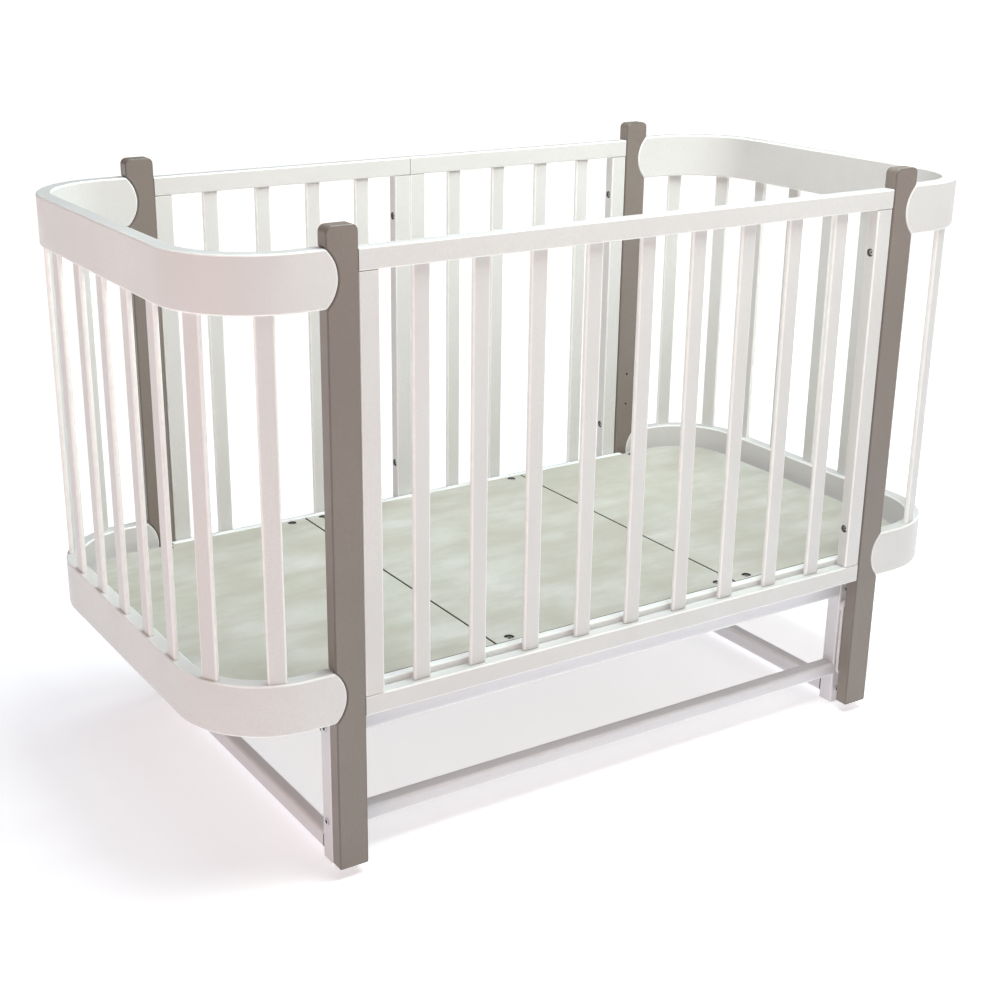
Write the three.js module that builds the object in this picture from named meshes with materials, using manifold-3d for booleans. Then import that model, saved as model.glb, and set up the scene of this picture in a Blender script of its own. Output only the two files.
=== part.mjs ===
// Pendulum crib: an oval cot with bent end rails, hung by four swing arms on a low stand.
// Millimetres. X runs along the cot's length, -Y is the front, Z is up, and the floor is z = 0.
// The cot swings lengthways: every arm hangs from a leg of the stand and carries one corner post.

import * as THREE from 'three';
import { mergeVertices } from 'three/addons/utils/BufferGeometryUtils.js';
import Module from 'manifold-3d';

const wasm = await Module();
wasm.setup();

// Driving dimensions, in millimetres

// fit: the gap that two touching pieces keep; overrun: how far a cutter passes a surface
const fit = 0.3;
const overrun = 2;
const weldTolerance = 0.0001;

const cot = {
  length: 1288,
  width: 652,
  floorGap: 15,
  endReach: 184.5,
};

const post = {
  width: 43,
  thickness: 22,
  headHeight: 26,
  headRadius: 9,
  footRadius: 3,
  hornRadius: 5,
  edgeRadius: 2.2,
  boltHoleRadius: 2.5,
  boltHoleDepth: 9,
  shelfHolePitch: 57,
};

const bentRail = {
  height: 71.5,
  cornerRadius: 128,
  edgeRadius: 3,
  endDepth: 16,
  tipRadius: 5,
  lowerBottom: 218,
  rise: 540,
};

const panel = {
  thickness: 20,
  railHeight: 28,
  stileWidth: 28,
  edgeRadius: 2.5,
  topDrop: 3,
  bottomDrop: 1,
};

const slat = {
  width: 25,
  thickness: 7.5,
  edgeRadius: 3,
  tenon: 12,
  panelInset: 2,
  panelEndGap: 50,
  bentOutset: 3,
  bentEndGap: 61.7,
};

const base = {
  thickness: 10,
  topAboveRail: 35,
  inset: 13.5,
  jointFromCentre: 215,
  jointGap: 2,
  edgeRadius: 1,
  bearerHeight: 24,
  bearerWidth: 25,
  ledgerWidth: 20,
  ledgerGap: 1,
  frameEdgeRadius: 2,
};

const stand = {
  barThickness: 22,
  barWidth: 27,
  legEdgeRadius: 3,
  railEdgeRadius: 6,
  headroom: 20.7,
  lowerCrossHeight: 9,
  lowerRailHeight: 48,
};

const arm = {
  span: 103,
  width: 30,
  thickness: 6,
  edgeRadius: 1,
  hubRadius: 11,
  hubLength: 7,
  pivotDrop: 42,
};

const bolt = {
  shankRadius: 4,
  headRadius: 7,
  headHeight: 3.2,
  crownHeight: 1.2,
  socketRadius: 2.9,
  socketDepth: 2,
  grip: 14,
  tipChamfer: 1,
};

// Counts

const panelSlatsPerHalf = 4;
const bentSlatsPerHalf = 4;
const edgeSteps = 2;
const cornerSteps = 9;
const endSteps = 5;
const tipSteps = 2;
const seatSteps = 10;
const hornSteps = 2;
const headSteps = 3;
const boltSides = 12;
const smallHoleSides = 8;
const socketSides = 6;

// Sizes worked out from the driving ones; heights of the cot are above the posts' feet

const postX = cot.length / 2 - cot.endReach;
const postInnerX = postX - post.width / 2;
const postOuterX = postX + post.width / 2;
const wallY = cot.width / 2 - post.thickness / 2;
const postInnerY = cot.width / 2 - post.thickness;

const lowerRailTop = bentRail.lowerBottom + bentRail.height;
const upperRailBottom = bentRail.lowerBottom + bentRail.rise;
const upperRailTop = upperRailBottom + bentRail.height;
const lowerRailMiddle = bentRail.lowerBottom + bentRail.height / 2;
const upperRailMiddle = upperRailBottom + bentRail.height / 2;
const postHeight = upperRailTop + post.headHeight;

const panelBottom = bentRail.lowerBottom - panel.bottomDrop;
const panelTop = upperRailTop - panel.topDrop;
const panelSillTop = panelBottom + panel.railHeight;
const panelHeadBottom = panelTop - panel.railHeight;

const boardTop = bentRail.lowerBottom + base.topAboveRail;
const boardBottom = boardTop - base.thickness;
const bearerTop = boardBottom - fit;
const bearerBottom = bearerTop - base.bearerHeight;
const bearerMiddle = bearerTop - base.bearerHeight / 2;

const standHeight = cot.floorGap + bearerBottom - stand.headroom;
const upperPivotZ = standHeight - arm.pivotDrop;
const lowerPivotZ = upperPivotZ - arm.span;
const boreRadius = bolt.shankRadius + fit;

// Across the gap between a post and its leg, from the post inwards: hub, plate, hub
const armOuterY = postInnerY - fit - arm.hubLength;
const armInnerY = armOuterY - arm.thickness;
const armMiddleY = (armOuterY + armInnerY) / 2;
const legOuterY = armInnerY - arm.hubLength - fit;
const legY = legOuterY - stand.barWidth / 2;
const legInnerX = postX - stand.barThickness / 2;
const legInnerY = legOuterY - stand.barWidth;

// The bent rails' round ends and the seats that the posts have for them
const endRadius = ((bentRail.height / 2) ** 2 + bentRail.endDepth ** 2) / (2 * bentRail.endDepth);
const seatRadius = endRadius + fit;
const seatCentreFromFace = endRadius - bentRail.endDepth;

// Finishes: each mesh gets a material of its own

const paint = (color, roughness, metalness = 0) => () =>
  new THREE.MeshStandardMaterial({ color, roughness, metalness });
const whiteEnamel = paint(0xeceae6, 0.38);
const taupeEnamel = paint(0x91857d, 0.42);
const coolWhiteEnamel = paint(0xd9d7df, 0.4);
const sageLaminate = paint(0xcdd4be, 0.55);
const armEnamel = paint(0xe6e0e2, 0.4);
const zincSteel = paint(0xb9bcc0, 0.35, 0.9);

// Solids and meshes

function weld(geometry) {
  const bare = geometry.clone();
  bare.deleteAttribute('normal');
  bare.deleteAttribute('uv');
  const merged = mergeVertices(bare, weldTolerance);
  const corners = Array.from(merged.index.array);
  const kept = [];
  for (let i = 0; i < corners.length; i += 3) {
    const [a, b, c] = corners.slice(i, i + 3);
    if (a !== b && b !== c && c !== a) kept.push(a, b, c);
  }
  merged.setIndex(kept);
  return merged;
}

function toSolid(geometry) {
  const welded = weld(geometry);
  return new wasm.Manifold(new wasm.Mesh({
    numProp: 3,
    vertProperties: new Float32Array(welded.attributes.position.array),
    triVerts: new Uint32Array(welded.index.array),
  }));
}

function fromSolid(solid) {
  const { vertProperties, triVerts } = solid.getMesh();
  const geometry = new THREE.BufferGeometry();
  geometry.setAttribute('position', new THREE.BufferAttribute(new Float32Array(vertProperties), 3));
  geometry.setIndex(Array.from(triVerts));
  geometry.computeVertexNormals();
  return geometry;
}

function place(parent, name, geometry, material, x, y, z, turn = 0) {
  const mesh = new THREE.Mesh(geometry, material());
  mesh.name = name;
  mesh.position.set(x, y, z);
  mesh.rotation.z = turn;
  parent.add(mesh);
  return mesh;
}

// A rectangle about the origin whose corners are rounded
function roundedRectangle(width, height, radius) {
  const x = width / 2;
  const y = height / 2;
  const shape = new THREE.Shape();
  shape.moveTo(x - radius, -y);
  shape.absarc(x - radius, radius - y, radius, -Math.PI / 2, 0, false);
  shape.absarc(x - radius, y - radius, radius, 0, Math.PI / 2, false);
  shape.absarc(radius - x, y - radius, radius, Math.PI / 2, Math.PI, false);
  shape.absarc(radius - x, radius - y, radius, Math.PI, 1.5 * Math.PI, false);
  return shape;
}

// Straight bars with four rounded edges, about the origin. The section is given as the two
// sizes across the bar, in the order of the axes that the bar doesn't run along.
function uprightBar(sizeX, sizeY, length, radius) {
  const section = roundedRectangle(sizeX, sizeY, radius);
  const bar = new THREE.ExtrudeGeometry(section, {
    depth: length,
    bevelEnabled: false,
    curveSegments: edgeSteps,
  });
  return bar.translate(0, 0, -length / 2);
}

const barAlongX = (sizeY, sizeZ, length, radius) =>
  uprightBar(sizeZ, sizeY, length, radius).rotateY(Math.PI / 2);

const barAlongY = (sizeX, sizeZ, length, radius) =>
  uprightBar(sizeX, sizeZ, length, radius).rotateX(Math.PI / 2);

// A cylinder along Y whose middle is at the given place
function drillAlongY(radius, length, sides, x, y, z) {
  const cylinder = new THREE.CylinderGeometry(radius, radius, length, sides);
  return toSolid(cylinder.translate(x, y, z));
}

// Corner posts

// Points along an arc, from the start angle to the end angle
function arcPoints(x, y, radius, start, end, steps) {
  return Array.from({ length: steps + 1 }, (_, i) => {
    const angle = start + ((end - start) * i) / steps;
    return new THREE.Vector2(x + radius * Math.cos(angle), y + radius * Math.sin(angle));
  });
}

// The outline in X and Z of a post whose outer edge faces +X: a foot and a head with rounded
// corners, and two round seats for the ends of the bent rails. Where a seat breaks through the
// outer edge, the horn that it leaves is rounded too: the rounding's centre stands the two radii
// away from the seat's centre.
function postOutline() {
  const x = post.width / 2;
  const quarter = Math.PI / 2;
  const foot = post.footRadius;
  const head = post.headRadius;
  const horn = post.hornRadius;
  const seatX = x + seatCentreFromFace;
  const hornAngle = Math.acos((seatCentreFromFace + horn) / (seatRadius + horn));
  const hornZ = (seatRadius + horn) * Math.sin(hornAngle);
  const points = [
    ...arcPoints(foot - x, foot, foot, -2 * quarter, -quarter, hornSteps),
    ...arcPoints(x - foot, foot, foot, -quarter, 0, hornSteps),
  ];
  for (const z of [lowerRailMiddle, upperRailMiddle]) {
    const seat = arcPoints(seatX, z, seatRadius, Math.PI + hornAngle, Math.PI - hornAngle, seatSteps);
    points.push(...arcPoints(x - horn, z - hornZ, horn, 0, hornAngle, hornSteps).slice(0, -1));
    points.push(...seat);
    points.push(...arcPoints(x - horn, z + hornZ, horn, -hornAngle, 0, hornSteps).slice(1));
  }
  points.push(...arcPoints(x - head, postHeight - head, head, 0, quarter, headSteps));
  points.push(...arcPoints(head - x, postHeight - head, head, quarter, 2 * quarter, headSteps));
  return new THREE.Shape(points);
}

// A post about its own centre line, foot at z = 0. inward is the side, +1 or -1 along Y, that
// faces the mattress: it has the lower pivot's bore and the spare holes for the base's bearer.
function postGeometry(inward) {
  const r = post.edgeRadius;
  const blank = new THREE.ExtrudeGeometry(postOutline(), {
    depth: post.thickness - 2 * r,
    bevelThickness: r,
    bevelSize: r,
    bevelOffset: -r,
    bevelSegments: edgeSteps,
  });
  blank.translate(0, 0, r - post.thickness / 2).rotateX(Math.PI / 2);
  const face = (inward * post.thickness) / 2;
  const drill = (radius, depth, sides, z) =>
    drillAlongY(radius, depth + overrun, sides, 0, face + (inward * (overrun - depth)) / 2, z);
  let solid = toSolid(blank);
  solid = solid.subtract(drill(boreRadius, bolt.grip + fit, boltSides, lowerPivotZ - cot.floorGap));
  for (const step of [2, 3]) {
    const z = bearerMiddle + step * post.shelfHolePitch;
    solid = solid.subtract(drill(post.boltHoleRadius, post.boltHoleDepth, smallHoleSides, z));
  }
  return fromSolid(solid);
}

// Bent end rails

// The centre line of the right-hand end in plan: along the front leg, round the first corner,
// across the end, round the second corner and back along the rear leg
const bendRadius = bentRail.cornerRadius - post.thickness / 2;
const bendX = cot.length / 2 - bentRail.cornerRadius;
const bendY = cot.width / 2 - bentRail.cornerRadius;
const legRun = bendX - (postOuterX - bentRail.endDepth);
const bendRun = (Math.PI / 2) * bendRadius;
const endRun = 2 * bendY;
const wholeRun = 2 * (legRun + bendRun) + endRun;

// The point at a distance s along the centre line, with its outward direction
function endLineAt(s) {
  const mirrored = s > wholeRun / 2;
  const t = mirrored ? wholeRun - s : s;
  const side = mirrored ? 1 : -1;
  if (t <= legRun) {
    return { x: bendX - (legRun - t), y: side * wallY, outX: 0, outY: side };
  }
  const bend = Math.min((t - legRun) / bendRadius, Math.PI / 2);
  const straight = Math.max(t - legRun - bendRun, 0);
  const outX = Math.sin(bend);
  const outY = side * Math.cos(bend);
  return {
    x: bendX + bendRadius * outX,
    y: side * bendY + bendRadius * outY - side * straight,
    outX,
    outY,
  };
}

// Where the round end meets the strip's edges, a smaller circle rounds the corner. It touches
// the round end from inside, at this angle seen from the round end's centre.
const tipRise = bentRail.height / 2 - bentRail.tipRadius;
const tipAngle = Math.asin(tipRise / (endRadius - bentRail.tipRadius));
const tipCentre = endRadius - (endRadius - bentRail.tipRadius) * Math.cos(tipAngle);

// Distances along the centre line where the rail gets a ring of points
function endStations() {
  const half = [];
  for (let i = 0; i <= endSteps; i += 1) {
    half.push(endRadius * (1 - Math.cos((tipAngle * i) / endSteps)));
  }
  for (let i = 1; i <= tipSteps; i += 1) {
    const angle = tipAngle + ((Math.PI / 2 - tipAngle) * i) / tipSteps;
    half.push(tipCentre - bentRail.tipRadius * Math.cos(angle));
  }
  for (let i = 0; i <= cornerSteps; i += 1) {
    half.push(legRun + (bendRun * i) / cornerSteps);
  }
  return [...half, ...half.map((s) => wholeRun - s).reverse()];
}

// Half the height of the strip at a distance d from a tip, in a layer that the edge rounding
// draws in by g: first the round end's circle, then the corner's, then the straight edge
function halfHeightAt(d, g) {
  if (d >= tipCentre) return bentRail.height / 2 - g;
  if (d > endRadius - (endRadius - g) * Math.cos(tipAngle)) {
    return tipRise + Math.sqrt(Math.max((bentRail.tipRadius - g) ** 2 - (tipCentre - d) ** 2, 0));
  }
  return Math.sqrt(Math.max((endRadius - g) ** 2 - (endRadius - d) ** 2, 0));
}

// A flat strip with round ends and softened edges, bent along the centre line
function bentRailGeometry() {
  const r = bentRail.edgeRadius;
  const flat = post.thickness / 2 - r;
  const layers = [];
  for (const side of [1, -1]) {
    for (let i = 0; i <= edgeSteps; i += 1) {
      const turn = (Math.PI / 2) * ((side > 0 ? edgeSteps - i : i) / edgeSteps);
      layers.push({ side, drawnIn: r * (1 - Math.cos(turn)) });
    }
  }
  const positions = [];
  const stations = endStations();
  for (const s of stations) {
    const line = endLineAt(s);
    const d = Math.min(s, wholeRun - s);
    const ring = layers.map(({ side, drawnIn }) => {
      const g = Math.min(drawnIn, d);
      const across = side * (flat + Math.sqrt(r ** 2 - (r - g) ** 2));
      const height = halfHeightAt(d, g);
      return { x: line.x + across * line.outX, y: line.y + across * line.outY, height };
    });
    for (const p of ring) positions.push(p.x, p.y, p.height);
    for (const p of ring.toReversed()) positions.push(p.x, p.y, -p.height);
  }
  const around = 2 * layers.length;
  const index = [];
  for (let i = 0; i < stations.length - 1; i += 1) {
    for (let j = 0; j < around; j += 1) {
      const a = i * around + j;
      const b = i * around + ((j + 1) % around);
      index.push(a, b + around, b, a, a + around, b + around);
    }
  }
  const geometry = new THREE.BufferGeometry();
  geometry.setAttribute('position', new THREE.BufferAttribute(new Float32Array(positions), 3));
  geometry.setIndex(index);
  return weld(geometry);
}

// Slats

// A slat whose foot is at z = 0
function slatGeometry(length) {
  const bar = uprightBar(slat.width, slat.thickness, length, slat.edgeRadius);
  return bar.translate(0, 0, length / 2);
}

// The lower bent rail, foot at z = 0 of the cot, with the nine slats that are glued into it
function slattedBentRailGeometry() {
  const lastSlat = wholeRun / 2 - bentRail.endDepth - slat.bentEndGap - slat.width / 2;
  const pitch = lastSlat / bentSlatsPerHalf;
  const foot = lowerRailTop - slat.tenon;
  let solid = toSolid(bentRailGeometry().translate(0, 0, lowerRailMiddle));
  for (let i = -bentSlatsPerHalf; i <= bentSlatsPerHalf; i += 1) {
    const line = endLineAt(wholeRun / 2 + i * pitch);
    const turn = Math.atan2(line.outY, line.outX) - Math.PI / 2;
    const x = line.x + slat.bentOutset * line.outX;
    const y = line.y + slat.bentOutset * line.outY;
    const piece = slatGeometry(upperRailBottom - fit - foot);
    solid = solid.add(toSolid(piece.rotateZ(turn).translate(x, y, foot)));
  }
  return fromSolid(solid);
}

// Slats keep the same pitch in all side panels, counted from the middle of the cot
const panelPitch =
  (postInnerX - panel.stileWidth - slat.panelEndGap - slat.width / 2) / panelSlatsPerHalf;

// A panel's bottom rail with its slats, about the rail's middle, for slats at the places given
function slattedSillGeometry(length, slatPlaces) {
  let solid = toSolid(barAlongX(panel.thickness, panel.railHeight, length, panel.edgeRadius));
  const foot = panel.railHeight / 2 - slat.tenon;
  const slatLength = panelHeadBottom - fit - panelSillTop + slat.tenon;
  for (const x of slatPlaces) {
    const piece = slatGeometry(slatLength);
    solid = solid.add(toSolid(piece.translate(x, -slat.panelInset, foot)));
  }
  return fromSolid(solid);
}

// Base boards

// One end board from the joint to the round end, in plan, for the right-hand end
function endBoardShape() {
  const side = postInnerY - base.inset;
  const end = cot.length / 2 - post.thickness - base.inset;
  const radius = bentRail.cornerRadius - post.thickness - base.inset;
  const start = base.jointFromCentre + base.jointGap / 2;
  const shape = new THREE.Shape();
  shape.moveTo(start, -side);
  shape.lineTo(end - radius, -side);
  shape.absarc(end - radius, radius - side, radius, -Math.PI / 2, 0, false);
  shape.absarc(end - radius, side - radius, radius, 0, Math.PI / 2, false);
  shape.lineTo(start, side);
  return shape;
}

function centreBoardShape() {
  const x = base.jointFromCentre - base.jointGap / 2;
  const y = postInnerY - base.inset;
  const shape = new THREE.Shape();
  shape.moveTo(-x, -y);
  shape.lineTo(x, -y);
  shape.lineTo(x, y);
  shape.lineTo(-x, y);
  return shape;
}

function boardGeometry(shape) {
  const r = base.edgeRadius;
  const board = new THREE.ExtrudeGeometry(shape, {
    depth: base.thickness - 2 * r,
    bevelThickness: r,
    bevelSize: r,
    bevelOffset: -r,
    bevelSegments: 1,
    curveSegments: cornerSteps,
  });
  return board.translate(0, 0, boardBottom + r);
}

// A ledger for the front, about the middle of the part below the boards. It is rebated: the
// boards lie on its inner half, and a lip along its outer edge stands beside them.
function ledgerGeometry(length) {
  const lip = base.inset - base.ledgerGap - fit;
  const height = base.bearerHeight + base.thickness;
  const blank = barAlongX(base.ledgerWidth, height, length, base.frameEdgeRadius);
  const cutWidth = base.ledgerWidth - lip + overrun;
  const cutHeight = base.thickness + overrun;
  const cut = new THREE.BoxGeometry(length + 2 * overrun, cutWidth, cutHeight);
  cut.translate(0, lip + (cutWidth - base.ledgerWidth) / 2, base.bearerHeight / 2 + cutHeight / 2);
  return fromSolid(toSolid(blank.translate(0, 0, base.thickness / 2)).subtract(toSolid(cut)));
}

// Swing arms and their bolts

// An arm about its upper pivot, plate in X and Z, for the front: its lower hub faces the post
// (-Y) and its upper hub faces the leg (+Y)
function armGeometry() {
  const radius = arm.width / 2;
  const r = arm.edgeRadius;
  const outline = new THREE.Shape();
  outline.moveTo(radius, 0);
  outline.absarc(0, 0, radius, 0, Math.PI, false);
  outline.absarc(0, -arm.span, radius, Math.PI, 2 * Math.PI, false);
  const plate = new THREE.ExtrudeGeometry(outline, {
    depth: arm.thickness - 2 * r,
    bevelThickness: r,
    bevelSize: r,
    bevelOffset: -r,
    bevelSegments: 1,
    curveSegments: boltSides / 2,
  });
  plate.translate(0, 0, r - arm.thickness / 2).rotateX(Math.PI / 2);
  let solid = toSolid(plate);
  for (const [z, side] of [[0, 1], [-arm.span, -1]]) {
    const length = arm.hubLength + arm.thickness / 2;
    const hub = drillAlongY(arm.hubRadius, length, boltSides, 0, (side * length) / 2, z);
    const through = arm.thickness + 2 * (arm.hubLength + overrun);
    solid = solid.add(hub);
    solid = solid.subtract(drillAlongY(boreRadius, through, boltSides, 0, 0, z));
  }
  return fromSolid(solid);
}

// A pivot bolt along Y: the underside of its head is at y = 0 and its shank runs towards +Y
function pivotBoltGeometry() {
  const shank = fit + arm.thickness + arm.hubLength + fit + bolt.grip;
  const rim = bolt.headHeight - bolt.crownHeight;
  const profile = [
    new THREE.Vector2(0, -bolt.headHeight),
    new THREE.Vector2(bolt.headRadius - bolt.crownHeight, -bolt.headHeight),
    new THREE.Vector2(bolt.headRadius, -rim),
    new THREE.Vector2(bolt.headRadius, 0),
    new THREE.Vector2(bolt.shankRadius, 0),
    new THREE.Vector2(bolt.shankRadius, shank - bolt.tipChamfer),
    new THREE.Vector2(bolt.shankRadius - bolt.tipChamfer, shank),
    new THREE.Vector2(0, shank),
  ];
  const body = toSolid(new THREE.LatheGeometry(profile, boltSides));
  const depth = bolt.socketDepth + overrun;
  const middle = -bolt.headHeight - overrun + depth / 2;
  return fromSolid(body.subtract(drillAlongY(bolt.socketRadius, depth, socketSides, 0, middle, 0)));
}

// Assembly

const crib = new THREE.Group();
const hanging = new THREE.Group();
hanging.position.z = cot.floorGap;
crib.add(hanging);

const ends = [
  { name: 'left', side: -1, turn: Math.PI },
  { name: 'right', side: 1, turn: 0 },
];
const rows = [
  { name: 'front', side: -1, turn: 0 },
  { name: 'back', side: 1, turn: Math.PI },
];

function addPosts() {
  for (const row of rows) {
    for (const end of ends) {
      const geometry = postGeometry(-row.side * end.side);
      const name = `post_${row.name}_${end.name}`;
      place(hanging, name, geometry, taupeEnamel, end.side * postX, row.side * wallY, 0, end.turn);
    }
  }
}

function addBentRails() {
  for (const end of ends) {
    const upper = bentRailGeometry().translate(0, 0, upperRailMiddle);
    place(hanging, `upper_end_rail_${end.name}`, upper, whiteEnamel, 0, 0, 0, end.turn);
    const lower = slattedBentRailGeometry();
    place(hanging, `lower_end_rail_${end.name}`, lower, whiteEnamel, 0, 0, 0, end.turn);
  }
}

const stileLength = panelHeadBottom - panelSillTop - 2 * fit;
const stileMiddle = (panelHeadBottom + panelSillTop) / 2;

function addStile(name, x, y) {
  const stile = uprightBar(panel.stileWidth, panel.thickness, stileLength, panel.edgeRadius);
  place(hanging, name, stile, whiteEnamel, x, y, stileMiddle);
}

function addPanelRail(name, geometry, x, y, bottom) {
  place(hanging, name, geometry, whiteEnamel, x, y, bottom + panel.railHeight / 2);
}

// The front side: one panel from post to post with its slats as pieces of their own
function addFrontPanel() {
  const length = 2 * (postInnerX - fit);
  const rail = () => barAlongX(panel.thickness, panel.railHeight, length, panel.edgeRadius);
  addPanelRail('front_top_rail', rail(), 0, -wallY, panelHeadBottom);
  addPanelRail('front_bottom_rail', rail(), 0, -wallY, panelBottom);
  for (const end of ends) {
    const x = end.side * (postInnerX - fit - panel.stileWidth / 2);
    addStile(`front_stile_${end.name}`, x, -wallY);
  }
  for (let i = -panelSlatsPerHalf; i <= panelSlatsPerHalf; i += 1) {
    const name = `front_slat_${i + panelSlatsPerHalf + 1}`;
    const x = i * panelPitch;
    const y = slat.panelInset - wallY;
    place(hanging, name, slatGeometry(stileLength), whiteEnamel, x, y, panelSillTop + fit);
  }
}

// The back side: two half-length panels that meet in the middle, slats glued into the sills
function addBackPanels() {
  const length = postInnerX - 1.5 * fit;
  const middle = fit / 2 + length / 2;
  const places = Array.from({ length: panelSlatsPerHalf }, (_, i) => (i + 1) * panelPitch - middle);
  for (const end of ends) {
    const x = end.side * middle;
    const panelName = `back_${end.name}`;
    const top = barAlongX(panel.thickness, panel.railHeight, length, panel.edgeRadius);
    const sill = slattedSillGeometry(length, places.map((p) => end.side * p));
    addPanelRail(`${panelName}_top_rail`, top, x, wallY, panelHeadBottom);
    addPanelRail(`${panelName}_bottom_rail`, sill, x, wallY, panelBottom);
    const reach = length / 2 - panel.stileWidth / 2;
    addStile(`${panelName}_outer_stile`, x + end.side * reach, wallY);
    addStile(`${panelName}_centre_stile`, x - end.side * reach, wallY);
  }
}

// Three boards on a frame of two bearers between the posts and two ledgers between the bearers
function addBase() {
  for (const end of ends) {
    const board = boardGeometry(endBoardShape());
    place(hanging, `base_board_${end.name}`, board, sageLaminate, 0, 0, 0, end.turn);
    const length = 2 * (postInnerY - fit);
    const bearer = barAlongY(base.bearerWidth, base.bearerHeight, length, base.frameEdgeRadius);
    const x = end.side * postX;
    place(hanging, `base_bearer_${end.name}`, bearer, whiteEnamel, x, 0, bearerMiddle);
  }
  place(hanging, 'base_board_centre', boardGeometry(centreBoardShape()), sageLaminate, 0, 0, 0);
  for (const row of rows) {
    const ledger = ledgerGeometry(2 * (postX - base.bearerWidth / 2 - fit));
    const y = row.side * (postInnerY - base.ledgerGap - base.ledgerWidth / 2);
    const name = `base_ledger_${row.name}`;
    place(hanging, name, ledger, whiteEnamel, 0, y, bearerMiddle, row.turn);
  }
}

// A leg whose foot is at z = 0, with the bore for the upper pivot in the face that looks along -Y
function legGeometry() {
  const leg = uprightBar(stand.barThickness, stand.barWidth, standHeight, stand.legEdgeRadius);
  const depth = bolt.grip + fit;
  const middle = (depth - overrun) / 2 - stand.barWidth / 2;
  const bore = drillAlongY(boreRadius, depth + overrun, boltSides, 0, middle, upperPivotZ);
  return fromSolid(toSolid(leg.translate(0, 0, standHeight / 2)).subtract(bore));
}

// Between the legs, cross rails stand on edge, and so do the long rails at the top. The long
// rails lower down lie flat.
function addStand() {
  const { barThickness: thin, barWidth: wide, railEdgeRadius: radius } = stand;
  for (const end of ends) {
    for (const row of rows) {
      const name = `stand_leg_${row.name}_${end.name}`;
      const x = end.side * postX;
      place(crib, name, legGeometry(), coolWhiteEnamel, x, row.side * legY, 0, row.turn);
    }
    const length = 2 * (legInnerY - fit);
    for (const [level, z] of [
      ['upper', standHeight - wide / 2],
      ['lower', stand.lowerCrossHeight + wide / 2],
    ]) {
      const name = `stand_${level}_cross_rail_${end.name}`;
      const rail = barAlongY(thin, wide, length, radius);
      place(crib, name, rail, coolWhiteEnamel, end.side * postX, 0, z);
    }
  }
  for (const row of rows) {
    const length = 2 * (legInnerX - fit);
    const y = row.side * legY;
    const upper = barAlongX(thin, wide, length, radius);
    const upperZ = standHeight - wide / 2;
    place(crib, `stand_upper_rail_${row.name}`, upper, coolWhiteEnamel, 0, y, upperZ);
    const lower = barAlongX(wide, thin, length, radius);
    const lowerZ = stand.lowerRailHeight + thin / 2;
    place(crib, `stand_lower_rail_${row.name}`, lower, coolWhiteEnamel, 0, y, lowerZ);
  }
}

// At each corner an arm hangs on a bolt in the leg, and a bolt in the post hangs on the arm
function addSwingArms() {
  for (const row of rows) {
    for (const end of ends) {
      const corner = `${row.name}_${end.name}`;
      const x = end.side * postX;
      const armY = row.side * armMiddleY;
      place(crib, `swing_arm_${corner}`, armGeometry(), armEnamel, x, armY, upperPivotZ, row.turn);
      const upperY = row.side * (armOuterY + fit);
      const upper = pivotBoltGeometry();
      place(crib, `upper_pivot_bolt_${corner}`, upper, zincSteel, x, upperY, upperPivotZ, row.turn);
      const lowerY = row.side * (armInnerY - fit);
      const lower = pivotBoltGeometry().rotateZ(Math.PI);
      place(crib, `lower_pivot_bolt_${corner}`, lower, zincSteel, x, lowerY, lowerPivotZ, row.turn);
    }
  }
}

addPosts();
addBentRails();
addFrontPanel();
addBackPanels();
addBase();
addStand();
addSwingArms();

export default crib;
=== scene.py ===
"""The pendulum crib, dressed: fine painted woodwork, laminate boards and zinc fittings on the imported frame.

Lengths are in metres. X runs along the crib, -Y is its front and Z is up, with the floor at zero.
"""

import sys

import logging
import math
import zlib
from dataclasses import dataclass, replace
from enum import Enum
from typing import Iterable, Sequence

import bpy
import numpy as np
from mathutils import Matrix, Vector
from mathutils.geometry import delaunay_2d_cdt


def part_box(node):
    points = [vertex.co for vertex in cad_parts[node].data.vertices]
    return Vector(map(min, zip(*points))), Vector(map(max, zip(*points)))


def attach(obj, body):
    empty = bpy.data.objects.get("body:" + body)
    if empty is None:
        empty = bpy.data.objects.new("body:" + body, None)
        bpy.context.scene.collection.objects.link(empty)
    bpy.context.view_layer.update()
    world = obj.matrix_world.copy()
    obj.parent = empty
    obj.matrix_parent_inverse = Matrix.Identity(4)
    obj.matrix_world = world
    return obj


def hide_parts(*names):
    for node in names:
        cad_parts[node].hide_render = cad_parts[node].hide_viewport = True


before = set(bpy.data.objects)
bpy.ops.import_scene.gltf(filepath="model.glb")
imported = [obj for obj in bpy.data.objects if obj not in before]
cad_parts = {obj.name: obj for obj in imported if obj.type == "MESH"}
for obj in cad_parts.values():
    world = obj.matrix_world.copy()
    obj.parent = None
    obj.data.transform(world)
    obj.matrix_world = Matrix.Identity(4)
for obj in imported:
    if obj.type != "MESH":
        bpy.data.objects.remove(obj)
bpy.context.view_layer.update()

log = logging.getLogger("crib")

MM = 0.001
QUARTER = math.pi / 2
AXES = np.eye(3)
X, Y, Z = AXES

Colour = tuple[float, float, float]
Place = tuple[float, float, float]
Scales = tuple[float, float, float]
Socket = bpy.types.NodeSocket


class Side(Enum):
    """A side of the crib, with the sign of the axis that leads to it."""

    @property
    def word(self) -> str:
        """The side's name as nodes use it."""
        return self.name.lower()


class Row(Side):
    """The two long sides of the crib, with the sign of their Y."""

    FRONT = -1
    BACK = 1


class End(Side):
    """The two short ends of the crib, with the sign of their X."""

    LEFT = -1
    RIGHT = 1


class Body(Enum):
    """The moving bodies of the frame."""

    STAND = "stand"
    CRIB = "crib"


class Grain(Enum):
    """Which of a shape's own three axes the wood's grain runs along."""

    ALONG_U = 0
    ALONG_V = 1
    ALONG_W = 2


# Shapes


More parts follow.
